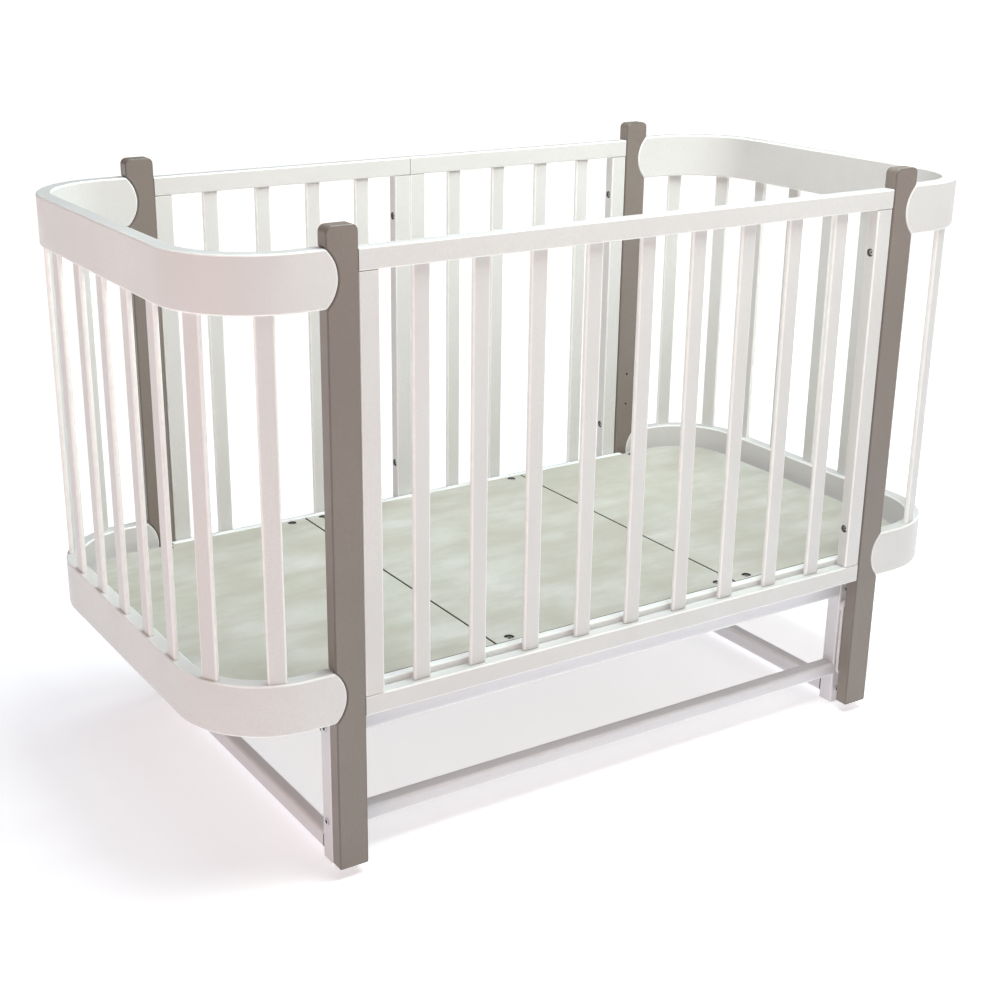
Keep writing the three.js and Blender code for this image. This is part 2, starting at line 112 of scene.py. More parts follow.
@dataclass(frozen=True)
class Box:
    """A node's place at rest."""

    low: np.ndarray
    high: np.ndarray

    @staticmethod
    def of(node: str) -> "Box":
        """The box of a node of the frame.

        Args:
            node: The node's name.

        Returns:
            Its lowest and highest corners.
        """
        low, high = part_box(node)
        return Box(np.array(low), np.array(high))

    @property
    def centre(self) -> np.ndarray:
        """The middle of the box."""
        return (self.low + self.high) / 2

    @property
    def size(self) -> np.ndarray:
        """The three side lengths."""
        return self.high - self.low

    def reach(self, axis: int) -> float:
        """How far the box reaches from the crib's middle along an axis."""
        return max(abs(self.low[axis]), abs(self.high[axis]))

    def start(self, axis: int) -> float:
        """How far from the crib's middle the box starts along an axis."""
        return min(abs(self.low[axis]), abs(self.high[axis]))

    def face(self, axis: int, sign: int) -> float:
        """Where the box's face that looks along an axis lies, on the side of the given sign."""
        return (self.high if sign > 0 else self.low)[axis]


@dataclass(frozen=True)
class Outline:
    """A flat curve, counter-clockwise: its points, outward normals and marks for the paint's edge colour,
    wear and painted highlight.
    """

    points: np.ndarray
    normals: np.ndarray
    rim: np.ndarray

    def drawn_in(self, depth: float) -> np.ndarray:
        """The outline moved inwards: each point less its normal times the depth."""
        return self.points - depth * self.normals


@dataclass(frozen=True)
class Arc:
    """A circular stretch of an outline. Its edge mark is how far its middle takes the paint's edge colour,
    partly wear and partly a painted highlight.
    """

    centre: tuple[float, float]
    radius: float
    start: float
    end: float
    steps: int
    hollow: bool = False
    worn: float = 1.0

    def outline(self) -> Outline:
        """The arc's points: its centre plus the radius in each direction from start to end.

        Returns:
            The open stretch, whose normals point to the centre where the arc is hollow.
        """
        angles = np.linspace(self.start, self.end, self.steps + 1)
        ray = np.stack([np.cos(angles), np.sin(angles)], axis=1)
        share = np.linspace(0.0, 1.0, self.steps + 1)
        rim = self.worn * np.sin(math.pi * share)
        return Outline(np.array(self.centre) + self.radius * ray, -ray if self.hollow else ray, rim)


def closed(arcs: Iterable[Arc]) -> Outline:
    """Joins arcs end to end, with straight lines between them.

    Args:
        arcs: The arcs, in counter-clockwise order.

    Returns:
        The closed outline.
    """
    parts = [arc.outline() for arc in arcs]
    return Outline(
        np.concatenate([p.points for p in parts]),
        np.concatenate([p.normals for p in parts]),
        np.concatenate([p.rim for p in parts]),
    )


def rounded_rectangle(width: float, height: float, radius: float, steps: int = 6) -> Outline:
    """A rectangle about the origin whose corners are quarter circles.

    Args:
        width: Its size along the first axis.
        height: Its size along the second axis.
        radius: The corners' radius.
        steps: How many edges a corner has.

    Returns:
        The closed outline.
    """
    x, y = width / 2 - radius, height / 2 - radius
    corners = [(x, -y), (x, y), (-x, y), (-x, -y)]
    return closed(
        Arc(corner, radius, (i - 1) * QUARTER, i * QUARTER, steps) for i, corner in enumerate(corners)
    )


@dataclass(frozen=True)
class Hole:
    """A blind round hole in the upper face of a plate, its inside given painted shade, as much as shade says.
    """

    place: tuple[float, float]
    radius: float
    depth: float
    rim: float = 0.4 * MM
    rim_steps: int = 3
    sides: int = 24
    shade: float = 1.0


@dataclass(frozen=True)
class Surface:
    """A closed mesh with smooth normals.

    rim is 1 along rounded edges, where the paint takes its edge colour, partly wear and partly a
    painted highlight; side is 1 on the narrow faces round a plate; the shade mark is 1 where shade is
    painted in, where light hardly reaches, such as in a blind hole; and own holds the piece's own
    coordinates, the first of them along the grain.
    """

    points: np.ndarray
    normals: np.ndarray
    faces: list[tuple[int, ...]]
    rim: np.ndarray
    side: np.ndarray
    bore: np.ndarray
    own: np.ndarray

    def placed(self, origin: np.ndarray, axes: np.ndarray) -> "Surface":
        """The surface carried into the crib's frame: origin plus each own axis times its coordinate.

        Args:
            origin: Where the shape's own origin goes.
            axes: The directions of its own three axes, one in each row.

        Returns:
            The placed surface, its faces turned round where the axes are left-handed.
        """
        faces = self.faces
        if np.linalg.det(axes) < 0:
            faces = [tuple(reversed(f)) for f in faces]
        return replace(self, points=origin + self.points @ axes, normals=self.normals @ axes, faces=faces)


def joined(surfaces: Sequence[Surface]) -> Surface:
    """Several surfaces as one, each still closed by itself.

    Args:
        surfaces: The surfaces.

    Returns:
        All their points and faces.
    """
    starts = np.cumsum([0] + [len(s.points) for s in surfaces])
    faces = [tuple(int(i + start) for i in f) for s, start in zip(surfaces, starts) for f in s.faces]
    stack = {
        key: np.concatenate([getattr(s, key) for s in surfaces])
        for key in ("points", "normals", "rim", "side", "bore", "own")
    }
    return Surface(faces=faces, **stack)


def band(first: np.ndarray, second: np.ndarray) -> list[tuple[int, ...]]:
    """The quads between two closed rings of the same length.

    Args:
        first: Vertex numbers of the ring that comes first along the outward-facing wall.
        second: Vertex numbers of the next ring.

    Returns:
        One quad for each step round the ring.
    """
    quads = np.stack([first, second, np.roll(second, -1), np.roll(first, -1)], axis=1)
    return [tuple(quad) for quad in quads.tolist()]


def circle(radius: float, sides: int) -> Outline:
    """A circle about the origin, with a point at each whole share of a turn."""
    return closed([Arc((0.0, 0.0), radius, 0.0, math.tau * (sides - 1) / sides, sides - 1, worn=0.0)])


def rounded_rim(edge: float, steps: int) -> tuple[np.ndarray, np.ndarray, np.ndarray]:
    """The quarter-round profile from a face to the side.

    For an angle a from 0 to a quarter turn it is drawn in by edge * (1 - sin a) and lies
    edge * (1 - cos a) below the face.

    Args:
        edge: The profile's radius.
        steps: How many edges it has.

    Returns:
        The angles, how far each layer is drawn in, and how deep it lies.
    """
    angles = np.linspace(0.0, QUARTER, steps + 1)
    return angles, edge * (1 - np.sin(angles)), edge * (1 - np.cos(angles))


def plate(
    outline: Outline,
    thickness: float,
    edge: float,
    grain: Grain,
    steps: int = 4,
    holes: Sequence[Hole] = (),
) -> Surface:
    """A flat piece of even thickness with quarter-round edges and blind holes in its upper face.

    Its own first two axes hold the outline and the third its thickness. Each layer of the edge
    is the outline drawn in as rounded_rim says, and its normal leans from the face to the side
    by the layer's angle. A hole's layers open outwards in the same way.

    Args:
        outline: The piece's outline at its widest.
        thickness: Its thickness.
        edge: The radius of its edges.
        grain: Which axis the grain follows.
        steps: How many edges the rounding has.
        holes: The blind holes.

    Returns:
        The closed surface.
    """
    angles, inset, drop = rounded_rim(edge, steps)
    points, normals, rims, sides, painted_shades = [], [], [], [], []
    rings: list[np.ndarray] = []

    def add_ring(
        flat: np.ndarray,
        height: float,
        normal: np.ndarray,
        rim: np.ndarray | float = 0.0,
        side: float = 0.0,
        bore: float = 0.0,
    ) -> None:
        """Adds one ring of vertices at a height.

        Args:
            flat: Its points in plan.
            height: Its height.
            normal: Its normals.
            rim: How far it takes the paint's edge colour, partly wear and partly a painted highlight.
            side: How far it is marked as a narrow face.
            bore: How far shade is painted on it.
        """
        start = sum(len(p) for p in points)
        rings.append(np.arange(start, start + len(flat)))
        points.append(np.column_stack([flat, np.full(len(flat), height)]))
        normals.append(normal)
        for kept, value in ((rims, rim), (sides, side), (painted_shades, bore)):
            kept.append(np.broadcast_to(value, len(flat)))

    layers = [(a, g, d, 1.0) for a, g, d in zip(angles, inset, drop)]
    layers += [(a, g, d, -1.0) for a, g, d, _ in reversed(layers)]
    for a, g, d, face in layers:
        lean = np.column_stack([outline.normals * math.sin(a), np.full(len(outline.rim), face * math.cos(a))])
        # Rounded edges take the paint's edge colour: partly wear, partly a painted highlight.
        rim = np.maximum(math.sin(2 * a), outline.rim * math.sin(a))
        add_ring(outline.drawn_in(g), face * (thickness / 2 - d), lean, rim, math.sin(a))
    faces = [quad for first, second in zip(rings, rings[1:]) for quad in band(first, second)]
    faces.append(tuple(reversed(rings[-1].tolist())))

    openings = []
    for hole in holes:
        start = len(rings)
        ray = circle(1.0, hole.sides).points
        middle = np.array(hole.place)
        # A hole's rounded rim, wall and floor get painted shade, as much as its shade field says.
        for a, g, d in zip(*rounded_rim(hole.rim, hole.rim_steps)):
            lean = np.column_stack([-ray * math.sin(a), np.full(hole.sides, math.cos(a))])
            add_ring(middle + (hole.radius + g) * ray, thickness / 2 - d, lean, bore=hole.shade * math.sin(a))
        wall = np.column_stack([-ray, np.zeros(hole.sides)])
        bottom = thickness / 2 - hole.depth
        add_ring(middle + hole.radius * ray, bottom + hole.rim, wall, bore=hole.shade)
        floor = np.tile(Z, (hole.sides, 1))
        add_ring(middle + (hole.radius - hole.rim) * ray, bottom, floor, bore=hole.shade)
        for first, second in zip(rings[start:], rings[start + 1:]):
            faces += [quad[::-1] for quad in band(first, second)]
        faces.append(tuple(rings[-1].tolist()))
        openings.append(rings[start])

    all_points = np.concatenate(points)
    if openings:
        faces += cap_with_holes(all_points, rings[0], openings)
    else:
        faces.append(tuple(rings[0].tolist()))
    own = np.roll(all_points, -grain.value, axis=1)
    marks = (np.concatenate(values) for values in (rims, sides, painted_shades))
    return Surface(all_points, np.concatenate(normals), faces, *marks, own)


# For delaunay_2d_cdt: it keeps only the triangles inside the outermost ring, and merges points that
# are nearer to each other than this reach.
FILL_INSIDE = 1
MERGE_REACH = 1e-9


def cap_with_holes(
    points: np.ndarray, outer: np.ndarray, openings: Sequence[np.ndarray]
) -> list[tuple[int, ...]]:
    """Fills a flat face between its outline and the rings of its holes.

    Args:
        points: All vertices.
        outer: The outline's vertex numbers, counter-clockwise.
        openings: The vertex numbers of each hole's ring.

    Returns:
        Triangles that face upwards.
    """
    rings = [outer, *openings]
    numbers = np.concatenate(rings)
    flat = [Vector(p) for p in points[numbers, :2].tolist()]
    edges, start = [], 0
    for ring in rings:
        edges += [(start + i, start + (i + 1) % len(ring)) for i in range(len(ring))]
        start += len(ring)
    _, _, triangles, came_from, _, _ = delaunay_2d_cdt(flat, edges, [], FILL_INSIDE, MERGE_REACH)
    corners = np.array([[came_from[i][0] for i in triangle] for triangle in triangles])
    middle = points[numbers[corners], :2].mean(axis=1)
    keep = np.ones(len(corners), bool)
    for ring in openings:
        centre = points[ring, :2].mean(axis=0)
        radius = np.linalg.norm(points[ring[0], :2] - centre)
        keep &= np.linalg.norm(middle - centre, axis=1) > radius
    return [tuple(t) for t in numbers[corners[keep]].tolist()]


@dataclass(frozen=True)
class EndPath:
    """The centre line of a bent rail in plan, for the right-hand end, from the front tip to the back tip."""

    tip_x: float
    bend_x: float
    bend_y: float
    bend_radius: float

    @property
    def leg(self) -> float:
        """The straight run from a tip to its bend."""
        return self.bend_x - self.tip_x

    @property
    def turn(self) -> float:
        """The length of one quarter bend."""
        return QUARTER * self.bend_radius

    @property
    def length(self) -> float:
        """The whole length from tip to tip."""
        return 2 * (self.leg + self.turn + self.bend_y)

    def at(self, s: np.ndarray) -> tuple[np.ndarray, np.ndarray, np.ndarray]:
        """Points on the centre line.

        The second half mirrors the first in Y. On the first half the line runs straight along X,
        then turns a quarter circle, then runs straight along Y.

        Args:
            s: Distances from the front tip.

        Returns:
            The points, forward directions and outward directions, each with three columns.
        """
        back = s > self.length / 2
        t = np.where(back, self.length - s, s)
        side = np.where(back, 1.0, -1.0)
        bend = np.clip((t - self.leg) / self.bend_radius, 0.0, QUARTER)
        straight = np.maximum(t - self.leg - self.turn, 0.0)
        out_x, out_y = np.sin(bend), side * np.cos(bend)
        x = self.bend_x + self.bend_radius * out_x - np.maximum(self.leg - t, 0.0)
        y = side * self.bend_y + self.bend_radius * out_y - side * straight
        zero = np.zeros_like(s)
        points = np.column_stack([x, y, zero])
        outward = np.column_stack([out_x, out_y, zero])
        forward = np.column_stack([-out_y, out_x, zero])
        return points, forward, outward


def tip_circle(height: float, depth: float) -> float:
    """The radius of a round tip: half its height squared plus its depth squared, over twice the depth."""
    return ((height / 2) ** 2 + depth**2) / (2 * depth)


def bent_strip(
    path: EndPath, height: float, thickness: float, tip_depth: float, corner: float, edge: float
) -> Surface:
    """A flat strip with round tips, bent along the centre line.

    Laid flat, each tip is a circle whose middle stretch is tip_depth deep, with small corners
    where it meets the straight edges. The strip's layers are drawn in as rounded_rim says. Every
    point then goes to path(s) + outward(s) * across + up * z.

    Args:
        path: The centre line in plan.
        height: The strip's height.
        thickness: Its thickness.
        tip_depth: How deep the round tips reach into their seats.
        corner: The radius of the corners beside a tip.
        edge: The radius of its edges.

    Returns:
        The closed surface about the height's middle.
    """
    tip_steps, corner_steps, leg_steps, bend_steps, end_steps, edge_steps = 20, 6, 5, 40, 11, 5
    half = height / 2
    tip_radius = tip_circle(height, tip_depth)
    rise = half - corner
    reach = tip_radius - math.sqrt((tip_radius - corner) ** 2 - rise**2)
    lean = math.atan2(rise, reach - tip_radius)
    tip = Arc((tip_radius, 0.0), tip_radius, math.pi, lean, tip_steps, worn=0.0).outline()
    soft = Arc((reach, rise), corner, lean, QUARTER, corner_steps, worn=0.0).outline()
    legs = np.linspace(reach, path.leg, leg_steps + 1)[1:-1]
    bends = path.leg + path.turn * np.linspace(0.0, 1.0, bend_steps + 1)
    ends = np.linspace(path.leg + path.turn, path.length / 2, end_steps + 1)[1:]
    run = np.concatenate([legs, bends, ends])
    flat_run = np.column_stack([run, np.full(len(run), half)])
    up = np.tile([0.0, 1.0], (len(run), 1))
    quarter = np.concatenate([tip.points, soft.points[1:], flat_run])
    quarter_normals = np.concatenate([tip.normals, soft.normals[1:], up])
    flip = np.array([-1.0, 1.0])
    upper = np.concatenate([quarter, (quarter[:-1] * flip + [path.length, 0.0])[::-1]])
    upper_normals = np.concatenate([quarter_normals, (quarter_normals[:-1] * flip)[::-1]])
    down = np.array([1.0, -1.0])
    points = np.concatenate([upper * down, upper[-2:0:-1]])
    normals = np.concatenate([upper_normals * down, upper_normals[-2:0:-1]])
    outline = Outline(points, normals, np.zeros(len(points)))
    flat = plate(outline, thickness, edge, Grain.ALONG_U, steps=edge_steps)
    count, last = len(points), len(upper) - 1
    faces = [f for f in flat.faces if len(f) == 4]
    for ring, turned in ((0, False), (len(flat.points) // count - 1, True)):
        low = np.arange(1, last) + ring * count
        high = ring * count + count - np.arange(1, last)
        rungs = np.stack([low[:-1], low[1:], high[1:], high[:-1]], axis=1)
        start, stop = ring * count, ring * count + last
        caps = [tuple(q) for q in rungs.tolist()]
        caps += [(start, int(low[0]), int(high[0])), (int(low[-1]), stop, int(high[-1]))]
        faces += [tuple(reversed(f)) for f in caps] if turned else caps
    centre, forward, outward = path.at(flat.points[:, 0])
    _, z, across = flat.points.T
    bent = centre + across[:, None] * outward
    bent[:, 2] += z
    n = flat.normals
    bent_normals = n[:, :1] * forward + n[:, 2:] * outward
    bent_normals[:, 2] += n[:, 1]
    return replace(flat, points=bent, normals=bent_normals, faces=faces)


@dataclass(frozen=True)
class Turned:
    """A turned fitting with a six-sided socket, about its own third axis, seat at zero."""

    head_radius: float
    head_height: float
    socket: float
    socket_depth: float
    crown: float = 1.0 * MM
    crown_steps: int = 4
    chamfer: float = 0.3 * MM
    sides: int = 36

    def surface(self) -> Surface:
        """The fitting's mesh: rings of radius r at height h, round but for the six-sided socket.

        The socket's rings have the radius apothem / cos(angle from the nearest flat's middle).

        Returns:
            The closed surface, with faceted normals left to the mesh.
        """
        ray = circle(1.0, self.sides).points
        turn = np.arctan2(ray[:, 1], ray[:, 0])
        sixth = math.pi / 3
        hexagon = self.socket / np.cos((turn + sixth / 2) % sixth - sixth / 2)
        bend = np.linspace(0.0, QUARTER, self.crown_steps + 1)
        radii = [self.head_radius - self.chamfer, self.head_radius]
        radii += (self.head_radius - self.crown * (1 - np.cos(bend))).tolist()
        heights = [0.0, self.chamfer, *(self.head_height - self.crown * (1 - np.sin(bend)))]
        heights += [self.head_height, self.head_height - self.chamfer, self.head_height - self.socket_depth]
        rounds = [np.full(self.sides, radius) for radius in radii]
        rounds += [hexagon + self.chamfer, hexagon, hexagon]
        rings = [np.column_stack([r[:, None] * ray, np.full(self.sides, h)]) for r, h in zip(rounds, heights)]
        points = np.concatenate(rings)
        numbers = np.arange(len(points)).reshape(len(rings), self.sides)
        faces = [tuple(numbers[0][::-1].tolist()), tuple(numbers[-1].tolist())]
        for first, second in zip(numbers[1:], numbers[:-1]):
            faces += band(first, second)
        zero = np.zeros(len(points))
        # The socket's wall and floor get painted shade.
        bore = np.repeat([0.0, 1.0], [len(points) - 2 * self.sides, 2 * self.sides])
        return Surface(points, np.zeros_like(points), faces, zero, zero, bore, points.copy())


# Finishes

# The colour of painted shade, mixed into every finish in holes, sockets and the ends of bars in joints.
SHADOW: Colour = (0.035, 0.032, 0.03)

# The Mix node's colour sockets, by number, because its other kinds of socket have the same names.
MIX_FIRST, MIX_SECOND, MIX_COLOUR = 6, 7, 2


class Wiring:
    """Adds nodes to one material and joins them."""

    def __init__(self, name: str) -> None:
        """Starts an empty material.

        Args:
            name: The material's name.
        """
        self.material = bpy.data.materials.new(name)
        self.material.use_nodes = True
        self.tree = self.material.node_tree
        self.tree.nodes.clear()

    def node(self, kind: str, **settings: object) -> bpy.types.Node:
        """Adds a node.

        Args:
            kind: The node's type without its ShaderNode prefix.
            settings: Its properties.

        Returns:
            The node.
        """
        made = self.tree.nodes.new("ShaderNode" + kind)
        for key, value in settings.items():
            setattr(made, key, value)
        return made

    def join(self, source: Socket, target: Socket) -> None:
        """Links one socket to another."""
        self.tree.links.new(source, target)

    def attribute(self, name: str) -> bpy.types.Node:
        """A node that reads one of the piece's own attributes."""
        return self.node("Attribute", attribute_name=name)

    def stretched(self, source: Socket, scale: Scales) -> Socket:
        """Scales coordinates.

        Args:
            source: The coordinates.
            scale: How often a pattern of unit scale repeats in a metre, on each axis.

        Returns:
            The scaled coordinates.
        """
        mapping = self.node("Mapping")
        mapping.inputs["Scale"].default_value = scale
        self.join(source, mapping.inputs["Vector"])
        return mapping.outputs["Vector"]

    def noise(self, source: Socket, scale: float, detail: float = 2.0, roughness: float = 0.5) -> Socket:
        """Cloudy noise from 0 to 1.

        Args:
            source: The coordinates.
            scale: Its scale.
            detail: How many finer layers it has.
            roughness: How strong they are.

        Returns:
            The noise's value.
        """
        made = self.node("TexNoise")
        made.inputs["Scale"].default_value = scale
        made.inputs["Detail"].default_value = detail
        made.inputs["Roughness"].default_value = roughness
        self.join(source, made.inputs["Vector"])
        return made.outputs["Fac"]

    def ranged(
        self, source: Socket, low: float, high: float, to_low: float = 0.0, to_high: float = 1.0
    ) -> Socket:
        """Carries values between low and high to the new range, clamped.

        Args:
            source: The value.
            low: Where the old range starts.
            high: Where it ends.
            to_low: Where the new range starts.
            to_high: Where it ends.

        Returns:
            The new value.
        """
        made = self.node("MapRange", clamp=True)
        for key, value in (("From Min", low), ("From Max", high), ("To Min", to_low), ("To Max", to_high)):
            made.inputs[key].default_value = value
        self.join(source, made.inputs["Value"])
        return made.outputs["Result"]

    def product(self, first: Socket, second: Socket) -> Socket:
        """Multiplies two values.

        Args:
            first: One value.
            second: The other.

        Returns:
            Their product.
        """
        made = self.node("Math", operation="MULTIPLY")
        self.join(first, made.inputs[0])
        self.join(second, made.inputs[1])
        return made.outputs[0]

    def mixed(
        self,
        share: Socket,
        first: Socket | Sequence[float],
        second: Socket | Sequence[float],
    ) -> Socket:
        """Blends two colours.

        Args:
            share: How much of the second shows.
            first: A colour, or a socket that gives one.
            second: The other.

        Returns:
            The blended colour.
        """
        made = self.node("Mix", data_type="RGBA")
        self.join(share, made.inputs["Factor"])
        for slot, value in ((MIX_FIRST, first), (MIX_SECOND, second)):
            if isinstance(value, Socket):
                self.join(value, made.inputs[slot])
            else:
                made.inputs[slot].default_value = (*value, 1.0)
        return made.outputs[MIX_COLOUR]

    def bump(self, height: Socket, depth: float, below: Socket | None = None) -> Socket:
        """Turns a height from 0 to 1 into a bumped normal.

        Args:
            height: The height.
            depth: How deep a full step is.
            below: A bumped normal to add it to.

        Returns:
            The bumped normal.
        """
        made = self.node("Bump")
        made.inputs["Distance"].default_value = depth
        self.join(height, made.inputs["Height"])
        if below is not None:
            self.join(below, made.inputs["Normal"])
        return made.outputs["Normal"]

    def shader(self, **fixed: float | tuple[float, ...]) -> bpy.types.Node:
        """Adds the surface shader and the output.

        Args:
            fixed: Values set on the shader's own sockets, with _ for a space in their names.

        Returns:
            The shader.
        """
        made = self.node("BsdfPrincipled")
        for key, value in fixed.items():
            made.inputs[key.replace("_", " ")].default_value = value
        output = self.node("OutputMaterial")
        self.join(made.outputs["BSDF"], output.inputs["Surface"])
        return made

    def finished(
        self, colour: Socket, roughness: Socket, normal: Socket, **fixed: float
    ) -> bpy.types.Material:
        """Gives the surface shader its colour, with painted shade mixed in where the shade mark says, its
        roughness and its normal.

        Args:
            colour: The colour.
            roughness: The roughness.
            normal: The bumped normal.
            fixed: Values set on the shader's own sockets, with _ for a space in their names.

        Returns:
            The material.
        """
        shader = self.shader(**fixed)
        # Painted shade: the colour goes towards SHADOW as the shade mark rises.
        dark = self.mixed(self.attribute("bore").outputs["Fac"], colour, SHADOW)
        for source, name in ((dark, "Base Color"), (roughness, "Roughness"), (normal, "Normal")):
            self.join(source, shader.inputs[name])
        return self.material


@dataclass(frozen=True)
class Enamel:
    """Satin paint on wood: faint grain under the coat, fine stipple, and edges mixed to another tone, partly
    wear and partly a painted highlight.
    """

    name: str
    slot: str
    colour: Colour
    shade: Colour
    worn: Colour
    roughness: float = 0.38
    grain_depth: float = 0.05 * MM
    stipple_depth: float = 0.03 * MM
    coat: float = 0.3
    coat_roughness: float = 0.25
    cloud_scale: float = 5.0
    gloss_scale: float = 24.0
    rubbing_scale: float = 60.0
    mottle_scale: float = 300.0
    stipple_scale: float = 850.0
    fibre_scale: Scales = (14.0, 420.0, 420.0)
    pore_scale: Scales = (90.0, 1900.0, 1900.0)

    def material(self) -> bpy.types.Material:
        """Builds the paint.

        Returns:
            The material, which reads Object coordinates and the piece's own attributes.
        """
        w = Wiring(self.name)
        place = w.node("TexCoord").outputs["Object"]
        own = w.attribute("own").outputs["Vector"]
        cloud = w.ranged(w.noise(place, self.cloud_scale, 3.0), 0.35, 0.65)
        fibres = w.noise(w.stretched(own, self.fibre_scale), 1.0, 4.0, 0.6)
        pores = w.noise(w.stretched(own, self.pore_scale), 1.0)
        mottle = w.noise(place, self.mottle_scale, 3.0, 0.65)
        base = w.mixed(w.ranged(cloud, 0.0, 1.0, to_high=0.75), self.colour, self.shade)
        base = w.mixed(w.ranged(fibres, 0.52, 0.72, to_high=0.35), base, self.shade)
        base = w.mixed(w.ranged(mottle, 0.42, 0.62, to_high=0.55), base, self.shade)
        # Rounded edges, and narrow faces marked like them, take the edge colour in patches: partly wear, and
        # for the white paints a painted highlight.
        rubbing_and_highlight = w.ranged(w.noise(place, self.rubbing_scale, 4.0, 0.65), 0.35, 0.65, to_low=0.75)
        base = w.mixed(w.product(w.attribute("rim").outputs["Fac"], rubbing_and_highlight), base, self.worn)
        patches = w.noise(place, self.gloss_scale, 4.0, 0.6)
        gloss = w.ranged(patches, 0.3, 0.7, self.roughness - 0.06, self.roughness + 0.08)
        normal = w.bump(fibres, self.grain_depth)
        normal = w.bump(pores, self.grain_depth / 3, normal)
        normal = w.bump(w.noise(place, self.stipple_scale, 2.0, 0.6), self.stipple_depth, normal)
        return w.finished(
            base, gloss, normal,
            Coat_Weight=self.coat, Coat_Roughness=self.coat_roughness, Specular_IOR_Level=0.5,
        )


@dataclass(frozen=True)
class Laminate:
    """Pale grey-green board: blotchy, wavy paper under a matt film, and a dark core on its narrow faces."""

    name: str = "sage_laminate"
    slot: str = "base_laminate"
    colour: Colour = (0.512, 0.509, 0.437)
    pale: Colour = (0.664, 0.651, 0.624)
    streak: Colour = (0.479, 0.445, 0.385)
    speck: Colour = (0.441, 0.421, 0.364)
    core: Colour = (0.13, 0.12, 0.09)
    cloud_scale: float = 2.2
    blotch_scale: float = 7.0
    gloss_scale: float = 30.0
    grit_scale: float = 1100.0
    wave_scale: Scales = (7.0, 24.0, 1.0)
    fibre_scale: Scales = (500.0, 90.0, 90.0)
    relief: float = 0.02 * MM

    def material(self) -> bpy.types.Material:
        """Builds the board's finish.

        Returns:
            The material.
        """
        w = Wiring(self.name)
        place = w.node("TexCoord").outputs["Object"]
        side = w.attribute("side").outputs["Fac"]
        blotches = w.ranged(w.noise(place, self.blotch_scale, 5.0, 0.6), 0.35, 0.68)
        cloud = w.ranged(w.noise(place, self.cloud_scale), 0.3, 0.7)
        fibres = w.noise(w.stretched(place, self.fibre_scale), 1.0, 3.0, 0.6)
        waves = w.noise(w.stretched(place, self.wave_scale), 1.0, 3.0, 0.55)
        base = w.mixed(blotches, self.colour, self.pale)
        base = w.mixed(w.ranged(waves, 0.4, 0.64, to_high=0.75), base, self.streak)
        base = w.mixed(w.ranged(cloud, 0.0, 1.0, to_high=0.3), base, self.speck)
        base = w.mixed(w.ranged(fibres, 0.55, 0.8, to_high=0.3), base, self.speck)
        base = w.mixed(w.ranged(side, 0.3, 0.5), base, self.core)
        gloss = w.ranged(w.noise(place, self.gloss_scale, 3.0), 0.3, 0.7, 0.42, 0.58)
        normal = w.bump(fibres, self.relief)
        normal = w.bump(w.noise(place, self.grit_scale), self.relief, normal)
        return w.finished(base, gloss, normal, Specular_IOR_Level=0.45)


@dataclass(frozen=True)
class Steel:
    """Zinc-plated steel: clouded plating with fine scratches and darker stains."""

    name: str = "zinc_plate"
    slot: str = "zinc_steel"
    colour: Colour = (0.78, 0.79, 0.80)
    stain: Colour = (0.45, 0.45, 0.46)
    roughness: float = 0.28
    cloud_scale: float = 240.0
    scratch_scale: Scales = (1800.0, 300.0, 1800.0)
    scratch_depth: float = 0.02 * MM

    def material(self) -> bpy.types.Material:
        """Builds the plating.

        Returns:
            The material.
        """
        w = Wiring(self.name)
        place = w.node("TexCoord").outputs["Object"]
        cloud = w.ranged(w.noise(place, self.cloud_scale, 4.0, 0.6), 0.4, 0.7)
        scratches = w.noise(w.stretched(place, self.scratch_scale), 1.0, 3.0)
        base = w.mixed(cloud, self.colour, self.stain)
        gloss = w.ranged(cloud, 0.0, 1.0, self.roughness, self.roughness + 0.15)
        return w.finished(base, gloss, w.bump(scratches, self.scratch_depth), Metallic=1.0)


# The white paints here, and those of the stand and the arms, have edge colours lighter than the paint: a
# painted highlight on rounded edges and narrow faces, partly also wear.
WHITE = Enamel(
    "white_enamel", "white_enamel",
    colour=(0.733, 0.728, 0.722), shade=(0.672, 0.667, 0.661), worn=(0.97, 0.97, 0.96),
)
TAUPE = Enamel(
    "taupe_enamel", "taupe_enamel",
    colour=(0.238, 0.202, 0.178), shade=(0.208, 0.176, 0.154), worn=(0.13, 0.11, 0.095),
    roughness=0.42,
)
COOL_WHITE = Enamel(
    "stand_enamel", "stand_enamel",
    colour=(0.77, 0.765, 0.80), shade=(0.73, 0.725, 0.765), worn=(0.90, 0.90, 0.92),
)
# A lit copy of the white paint for the ledgers: painted light that brightens their strips, which lie in shade
# behind the bottom rails.
LIT_WHITE = replace(
    WHITE, name="bright_enamel", colour=(0.92, 0.925, 0.92), shade=(0.88, 0.885, 0.88),
)
ARM_WHITE = Enamel(
    "arm_coat", "arm_enamel",
    colour=(0.78, 0.76, 0.77), shade=(0.74, 0.72, 0.73), worn=(0.84, 0.83, 0.84),
    grain_depth=0.01 * MM, stipple_depth=0.06 * MM, roughness=0.34,
)
SAGE = Laminate()
ZINC = Steel()

Finish = Enamel | Laminate | Steel


def linked(name: str, data: bpy.types.ID) -> bpy.types.Object:
    """Makes an object of the given data and puts it in the scene.

    Args:
        name: The object's name.
        data: Its mesh, lamp or camera.

    Returns:
        The object.
    """
    made = bpy.data.objects.new(name, data)
    bpy.context.scene.collection.objects.link(made)
    return made


